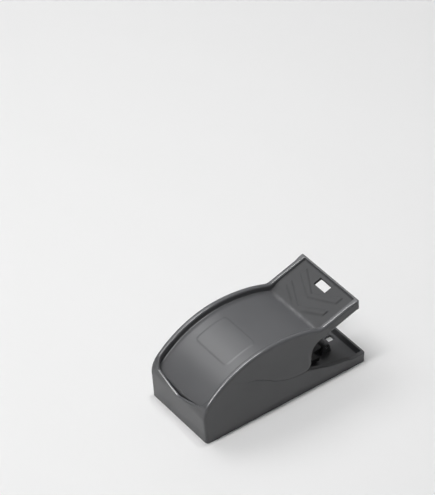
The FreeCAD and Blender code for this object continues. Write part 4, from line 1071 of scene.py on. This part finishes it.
def nose_bottom(outer, inner):
    """Underside and floor of the nose: from its front edge straight back to the shoulder."""
    across = np.linspace(0, 1, BLOCK_COLUMNS + 1)[:, None]
    sheets = []
    for grid, level in ((outer, 0.0), (inner, FLOOR)):
        x = grid[0, :, 0] * (1 - across) + SHOULDER[0] * across
        sheets.append(with_y(np.stack([x, np.full(x.shape, level)], -1), grid[0, :, 1])[:, ::-1])
    kept = np.ones((x.shape[0] - 1, x.shape[1] - 1), bool)
    return sheets[0], sheets[1], kept, np.ones(x.shape, bool)


def trough_stations():
    """Stations from the shoulder to the tail: even steps, finer at the rear wall and at the tail's rounds."""
    window_x, window_long, _ = TAIL_WINDOW
    knots = [SHOULDER[0], FLAP_CORNER[0]] + [x for x, _ in WALL_TOPS[:-1]]
    knots += [window_x - window_long, window_x + window_long, TAIL_END - TAIL_CORNER]
    rounds = [TAIL_END - size + size * np.sin(quarter(8)) for size in (TAIL_CORNER, TAIL_ROUND)]
    rear = REAR_EDGE + np.array([-0.25, -0.1, 0.0, 0.15])
    return np.unique(np.concatenate([stepped(knots, TROUGH_CELL), rear] + rounds).round(4))


def trough(rise):
    """Trough from the shoulder to the tail: half profiles from the wall's top down and in to the middle.

    Outside come the top, the round of its edge, the side and the underside. Inside come the wall, which leans
    out at its top and in at its foot by quarter circles, and the floor, which rises to the rear wall.
    """
    x = trough_stations()
    beyond = np.maximum(x - (TAIL_END - TAIL_CORNER), 0)
    side_y = (HALF_WIDTH - TAIL_CORNER + np.sqrt(np.maximum(TAIL_CORNER ** 2 - beyond ** 2, 0)))[:, None]
    fall = np.maximum(x - (TAIL_END - TAIL_ROUND), 0)
    height = (wall_height(x) - TAIL_ROUND + np.sqrt(np.maximum(TAIL_ROUND ** 2 - fall ** 2, 0)))[:, None]
    round_fade = smooth(x, *SEAM_FADE)
    edge = (SEAM_EDGE * round_fade + (TAIL_ROUND - SEAM_EDGE) * smooth(x, *WALL_EDGE_FADE))[:, None]
    lip = (WALL_LIP * round_fade)[:, None]
    foot = (WALL_FOOT * smooth(x, *WALL_FOOT_FADE))[:, None]
    inner_y = (INNER_Y + (TAIL_RIM_Y - INNER_Y) * smooth(x, *TAIL_RIM_FADE))[:, None]

    # outside
    half_y, _, _, face = nose_profile()
    rise = rise[1:-1][np.diff(rise[:-1]) > 1e-4][::-1]
    ground = np.concatenate([half_y[:RIM_COLUMNS], face[1:]])
    ground_y = ground * side_y / HALF_WIDTH
    ground_y[:, -STRAIGHT_COLUMNS:] = ground[-STRAIGHT_COLUMNS:]
    turn = quarter(4)[::-1]
    out_y = np.concatenate([inner_y + lip, side_y - edge * (1 - np.cos(turn)),
                            np.repeat(side_y, len(rise), 1), ground_y], 1)
    out_z = np.concatenate([height, height - edge * (1 - np.sin(turn)), rise * (height - edge),
                            np.zeros(ground_y.shape)], 1)

    # inside
    floor = FLOOR + (height - FLOOR) * smooth(x, REAR_EDGE - 0.3, REAR_EDGE)[:, None]
    wall_z = floor + np.concatenate([np.ones(len(turn) + 1), rise]) * (height - floor)
    near_top = np.clip((height - wall_z) / np.maximum(lip, 1e-6), 0, 1)
    near_foot = np.clip((wall_z - floor) / np.maximum(foot, 1e-6), 0, 1)
    wall_y = inner_y + lip * (1 - np.sqrt(1 - (1 - near_top) ** 2))
    wall_y = wall_y - foot * (1 - np.sqrt(1 - (1 - near_foot) ** 2)) * (floor < height - 1)
    in_ground = np.concatenate([inside_profile()[:RIM_COLUMNS], face[1:]])
    floor_y = in_ground * (inner_y - foot) / INNER_Y
    floor_y[:, -STRAIGHT_COLUMNS:] = in_ground[-STRAIGHT_COLUMNS:]
    in_y = np.concatenate([wall_y, floor_y], 1)
    in_z = np.concatenate([wall_z, np.repeat(floor, len(in_ground), 1)], 1)

    made = []
    for y, z in ((out_y, out_z), (in_y, in_z)):
        full_y = np.concatenate([y, -y[:, -2::-1]], 1)
        full_z = np.concatenate([z, z[:, -2::-1]], 1)
        made.append(np.stack([np.broadcast_to(x[:, None], full_y.shape), full_y, full_z], -1))
    outer, inner = made

    # an opening in the floor
    window_x, window_long, window_wide = TAIL_WINDOW
    middle = (outer[:-1, :-1] + outer[1:, 1:]) / 2
    in_window = (np.abs(middle[..., 1]) < window_wide) & (np.abs(middle[..., 0] - window_x) < window_long)
    kept = ~(in_window & (middle[..., 2] < 5e-7))
    sewn = np.zeros(full_y.shape, bool)
    sewn[0] = True
    return outer, inner, kept, sewn


def base_grids():
    """The base in four blocks: the nose's face with its rims, its sides, its bottom, and the trough."""
    outer, inner, kept, sewn = nose_face()
    rise = outer[:, 0, 2] / outer[-1, 0, 2]
    face = (outer[:, ::-1], inner[:, ::-1], kept[:, ::-1], sewn)
    return [face, *nose_sides(outer, inner, rise), nose_bottom(outer, inner), trough(rise)]


# ears, posts and lugs inside the base
EAR_HALF = 2.0
EAR_RADIUS = 4.0
POST_X = (12.3, 14.7)
POST_TOP = 15.6
POST_MIDDLE = (13.5, 8.8)
POST_Y = np.array([5.5, 8.1])
SUNK_Z = FLOOR - 0.5
LATCH_LUG = (3.0, 2.6, 1.05)
LATCH_LUG_Y = ((-4.6, -2.8), (5.8, 7.6))
TREADLE_LUG = (4.0, 2.7, 1.25)
TREADLE_LUG_Y = np.array([7.9, 9.7])


def lug(pivot, size, y_range):
    """A lug on the floor: sloping sides up to a rounded top round its bore."""
    x, z = pivot
    foot, top, bore = size
    corners = [(x - foot, SUNK_Z), (x + foot, SUNK_Z)]
    corners += [(x + top * math.cos(a), z + top * math.sin(a)) for a in np.linspace(0, math.pi, 9)]
    return plate(corners, pivot, bore, 0.0, y_range)


def base_solids():
    """What stands inside the base: the pin's ears, the springs' posts and the lugs of latch and treadle."""
    px, pz = PIVOT
    front, rear = POST_X
    solids = [lug(LATCH_PIVOT, LATCH_LUG, y_range) for y_range in LATCH_LUG_Y]
    ear = [(px - EAR_HALF, pz - EAR_HALF), (px + EAR_HALF, pz - EAR_HALF),
           (px + EAR_HALF, pz + EAR_HALF), (px - EAR_HALF, pz + EAR_HALF)]
    post = [(front, SUNK_Z), (rear, SUNK_Z), (rear, POST_TOP), (front, POST_TOP)]
    for side in (-1, 1):
        solids.append(plate(ear, PIVOT, PIN_BORE, EAR_RADIUS, (side * SLOT_Y, side * (INNER_Y + 0.5))))
        solids.append(plate(post, POST_MIDDLE, 0.0, 0.0, side * POST_Y))
        solids.append(lug(TREADLE_PIVOT, TREADLE_LUG, side * TREADLE_LUG_Y))
    return solids


def make_base():
    """The base: nose with its lip and rims, floor, side walls and tail in one moulding."""
    base = finish_piece(shell_mesh("base_shell", base_grids(), base_solids()), SHELL_PLASTIC)
    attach(base, "base")
    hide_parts("base")


# springs

COVER_COIL = 2.65
COVER_WIRE = 0.55
COVER_LEG = (19.5, 21.35)
COVER_LEG_TIP_Y = 22.35
COVER_LEG_BEND = 1.4
COVER_TURNS = 6.75
COVER_COIL_Y = (17.6, 6.8)
COVER_FOOT = (11.65, 13.0)
LATCH_COIL = 1.6
LATCH_WIRE = 0.25
LATCH_LEG = (14.0, 6.6)
LATCH_LEG_BEND = 0.8
LATCH_TURNS = 2.25
LATCH_COIL_Y = (3.05, 5.25)
LATCH_FOOT = (5.9, 0.9)


def bent_leg(tip, corner, end, bend, count=8):
    """A leg from its tip to a rounded corner and on to the coil, in even small steps."""
    tip, corner, end = (np.array(p, float) for p in (tip, corner, end))
    first = (tip - corner) / np.linalg.norm(tip - corner)
    second = (end - corner) / np.linalg.norm(end - corner)
    angle = quarter(count - 1)[:, None]
    turn = corner + bend * (first + second) - bend * (second * np.cos(angle) + first * np.sin(angle))
    share = np.linspace(0, 1, 12)[:, None]
    onward = turn[-1] + (end - turn[-1]) * share[1:-1]
    return np.concatenate([tip + (turn[0] - tip) * share[:-1], turn, onward])


def coil(centre, radius, start, turns, sense, y_range):
    """A helix about the y axis, from its first y to its last, with its end tangents along the legs."""
    first, last = y_range
    share = np.linspace(0, 1, int(turns * 36) + 1)
    angle = math.radians(start) + sense * share * turns * 2 * math.pi
    return np.stack([centre[0] + radius * np.cos(angle), first + (last - first) * share,
                     centre[1] + radius * np.sin(angle)], -1)


def spring_path(leg, turns, foot):
    """Leg, coil and a straight foot from the coil's end, at the same y, to a point in x and z."""
    x, z = foot
    way = np.array([x, turns[-1, 1], z]) - turns[-1]
    return np.concatenate([leg, turns, turns[-1] + way * np.linspace(0, 1, 14)[1:, None]])


def make_spring(name, path, radius):
    """A wire spring along the path, in spring steel, in place of the CAD part of that name, which is hidden.
    """
    spring = finish_piece(welded(name + "_wire", *tube(path, radius)), SPRING_STEEL)
    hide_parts(name)
    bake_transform(spring)


def make_springs():
    """The two springs of the cover, mirrored, and the small one of the latch."""
    px, pz = PIVOT
    leg_x, leg_z = COVER_LEG
    leg_y = COVER_COIL_Y[0]
    leg = bent_leg((leg_x, COVER_LEG_TIP_Y, leg_z), (leg_x, leg_y, leg_z), (px, leg_y, leg_z), COVER_LEG_BEND)
    path = spring_path(leg, coil(PIVOT, COVER_COIL, -90.0, COVER_TURNS, -1, COVER_COIL_Y), COVER_FOOT)
    for name, side in (("spring_left", 1), ("spring_right", -1)):
        make_spring(name, path * np.array([1, side, 1]), COVER_WIRE)
    px, pz = LATCH_PIVOT
    leg_x, leg_z = LATCH_LEG
    leg_y = LATCH_COIL_Y[0]
    leg = bent_leg((leg_x, 0.0, leg_z), (leg_x, leg_y, leg_z), (px, leg_y, leg_z), LATCH_LEG_BEND)
    path = spring_path(leg, coil(LATCH_PIVOT, LATCH_COIL, 90.0, LATCH_TURNS, 1, LATCH_COIL_Y), LATCH_FOOT)
    make_spring("latch_spring", path, LATCH_WIRE)


def dress_inner_pieces():
    """Gives the treadle, latch, spacers, cup, pins and kill bar their materials; their shapes stay."""
    for node, material in (("trip_pedal", PEDAL_PLASTIC), ("latch", PEDAL_PLASTIC),
                           ("spacer_left", PEDAL_PLASTIC), ("spacer_right", PEDAL_PLASTIC),
                           ("bait_cup", CUP_PLASTIC), ("hinge_pin", PIN_STEEL), ("pedal_pin", PIN_STEEL),
                           ("latch_pin", PIN_STEEL), ("kill_bar", WIRE_STEEL)):
        slots = frame["nodes"][node].data.materials
        slots.clear()
        slots.append(material)


make_cover()
make_base()
make_springs()
dress_inner_pieces()


# floor, light and camera, in metres

FLOOR_REACH = 3.0
FLOOR_LIT = (0.38, 0.38, 0.38)
FLOOR_SEEN = (0.88, 0.88, 0.88)
LAMPS_AIM = (0, 0, 0.02)
CAMERA_SPOT = (-0.81985, -1.0376, 1.2422)
CAMERA_WAY = (0.4588, 0.60496, -0.65079)
FOCAL_PIXELS = 2848.75
PICTURE_PIXELS = 495.0
SENSOR_MM = 36.0


def make_stage():
    """A flat pale floor: bright where it is seen or mirrored, darker for the light that it throws back."""
    across = np.linspace(-FLOOR_REACH, FLOOR_REACH, 9)
    run = np.linspace(-FLOOR_REACH, FLOOR_REACH, 25)
    grid_x, grid_y = np.meshgrid(run, across, indexing="ij")
    points = np.stack([grid_x, grid_y, np.zeros_like(grid_x)], -1).reshape(-1, 3)
    mesh = bpy.data.meshes.new("floor")
    mesh.from_pydata(points.tolist(), [], grid_quads(*grid_x.shape).reshape(-1, 4).tolist())
    material, nodes, links, shader = principled("pale_floor", (0.8, 0.8, 0.8), 0.9)
    path = nodes.new("ShaderNodeLightPath")
    seen = path.outputs["Is Camera Ray"]
    for ray in ("Is Glossy Ray", "Is Transmission Ray"):
        either = nodes.new("ShaderNodeMath")
        either.operation = "MAXIMUM"
        links.new(seen, either.inputs[0])
        links.new(path.outputs[ray], either.inputs[1])
        seen = either.outputs[0]
    links.new(color_mix(nodes, links, seen, FLOOR_LIT, FLOOR_SEEN), shader.inputs["Base Color"])
    mesh.materials.append(material)
    linked("floor", mesh)


def set_axes(thing, spot, right, up, back):
    """Puts a lamp or camera at a spot, with its own x, y and z along three directions."""
    turned = Matrix((right, up, back)).transposed().to_4x4()
    thing.matrix_world = Matrix.Translation(spot) @ turned


def add_lamp(name, spot, wide, long, power):
    """An area lamp aimed at the trap: its width runs across and its length in the plane of x and z."""
    lamp = bpy.data.lights.new(name, "AREA")
    lamp.shape = "RECTANGLE"
    lamp.size = wide
    lamp.size_y = long
    lamp.energy = power
    thing = linked(name, lamp)
    back = (Vector(spot) - Vector(LAMPS_AIM)).normalized()
    across = Vector((0, 1, 0))
    across = (across - back * back.dot(across)).normalized()
    set_axes(thing, spot, across, back.cross(across), back)
    return thing


def make_lamps():
    """Soft lamps from the left, the tail and above, and two strips that show only as highlights."""
    add_lamp("key", (-0.5, 0.9, 1.3), 0.8, 0.8, 5.0)
    add_lamp("side_fill", (0.05, 1.0, 1.3), 0.7, 0.7, 3.0)
    add_lamp("rear_fill", (1.0, 0.5, 1.1), 0.8, 0.8, 1.2)
    add_lamp("top_light", (-0.2, 0.02, 1.4), 0.1, 1.0, 12.5)
    front_strip = add_lamp("front_strip", (-1.0, 0.12, 0.85), 0.1, 0.8, 18.0)
    top_strip = add_lamp("top_strip", (-0.2, 0.16, 1.4), 0.1, 0.8, 9.0)
    front_strip.visible_diffuse = False
    top_strip.visible_diffuse = False


def make_camera():
    """The camera of the photograph, fitted to the trap's corners: its place, its direction and its lens."""
    forward = Vector(CAMERA_WAY).normalized()
    right = forward.cross(Vector((0, 0, 1))).normalized()
    camera = bpy.data.cameras.new("camera")
    camera.sensor_fit = "AUTO"
    camera.sensor_width = SENSOR_MM
    camera.lens = FOCAL_PIXELS * SENSOR_MM / PICTURE_PIXELS
    camera.clip_start = 0.01
    thing = linked("camera", camera)
    set_axes(thing, CAMERA_SPOT, right, right.cross(forward), -forward)
    bpy.context.scene.camera = thing


def make_world():
    """Faint even light from all round."""
    world = bpy.data.worlds.new("studio")
    world.use_nodes = True
    background = world.node_tree.nodes["Background"]
    background.inputs["Color"].default_value = (1, 1, 1, 1)
    background.inputs["Strength"].default_value = 0.12
    bpy.context.scene.world = world


make_stage()
make_lamps()
make_camera()
make_world()
bpy.context.scene.view_settings.view_transform = "Standard"
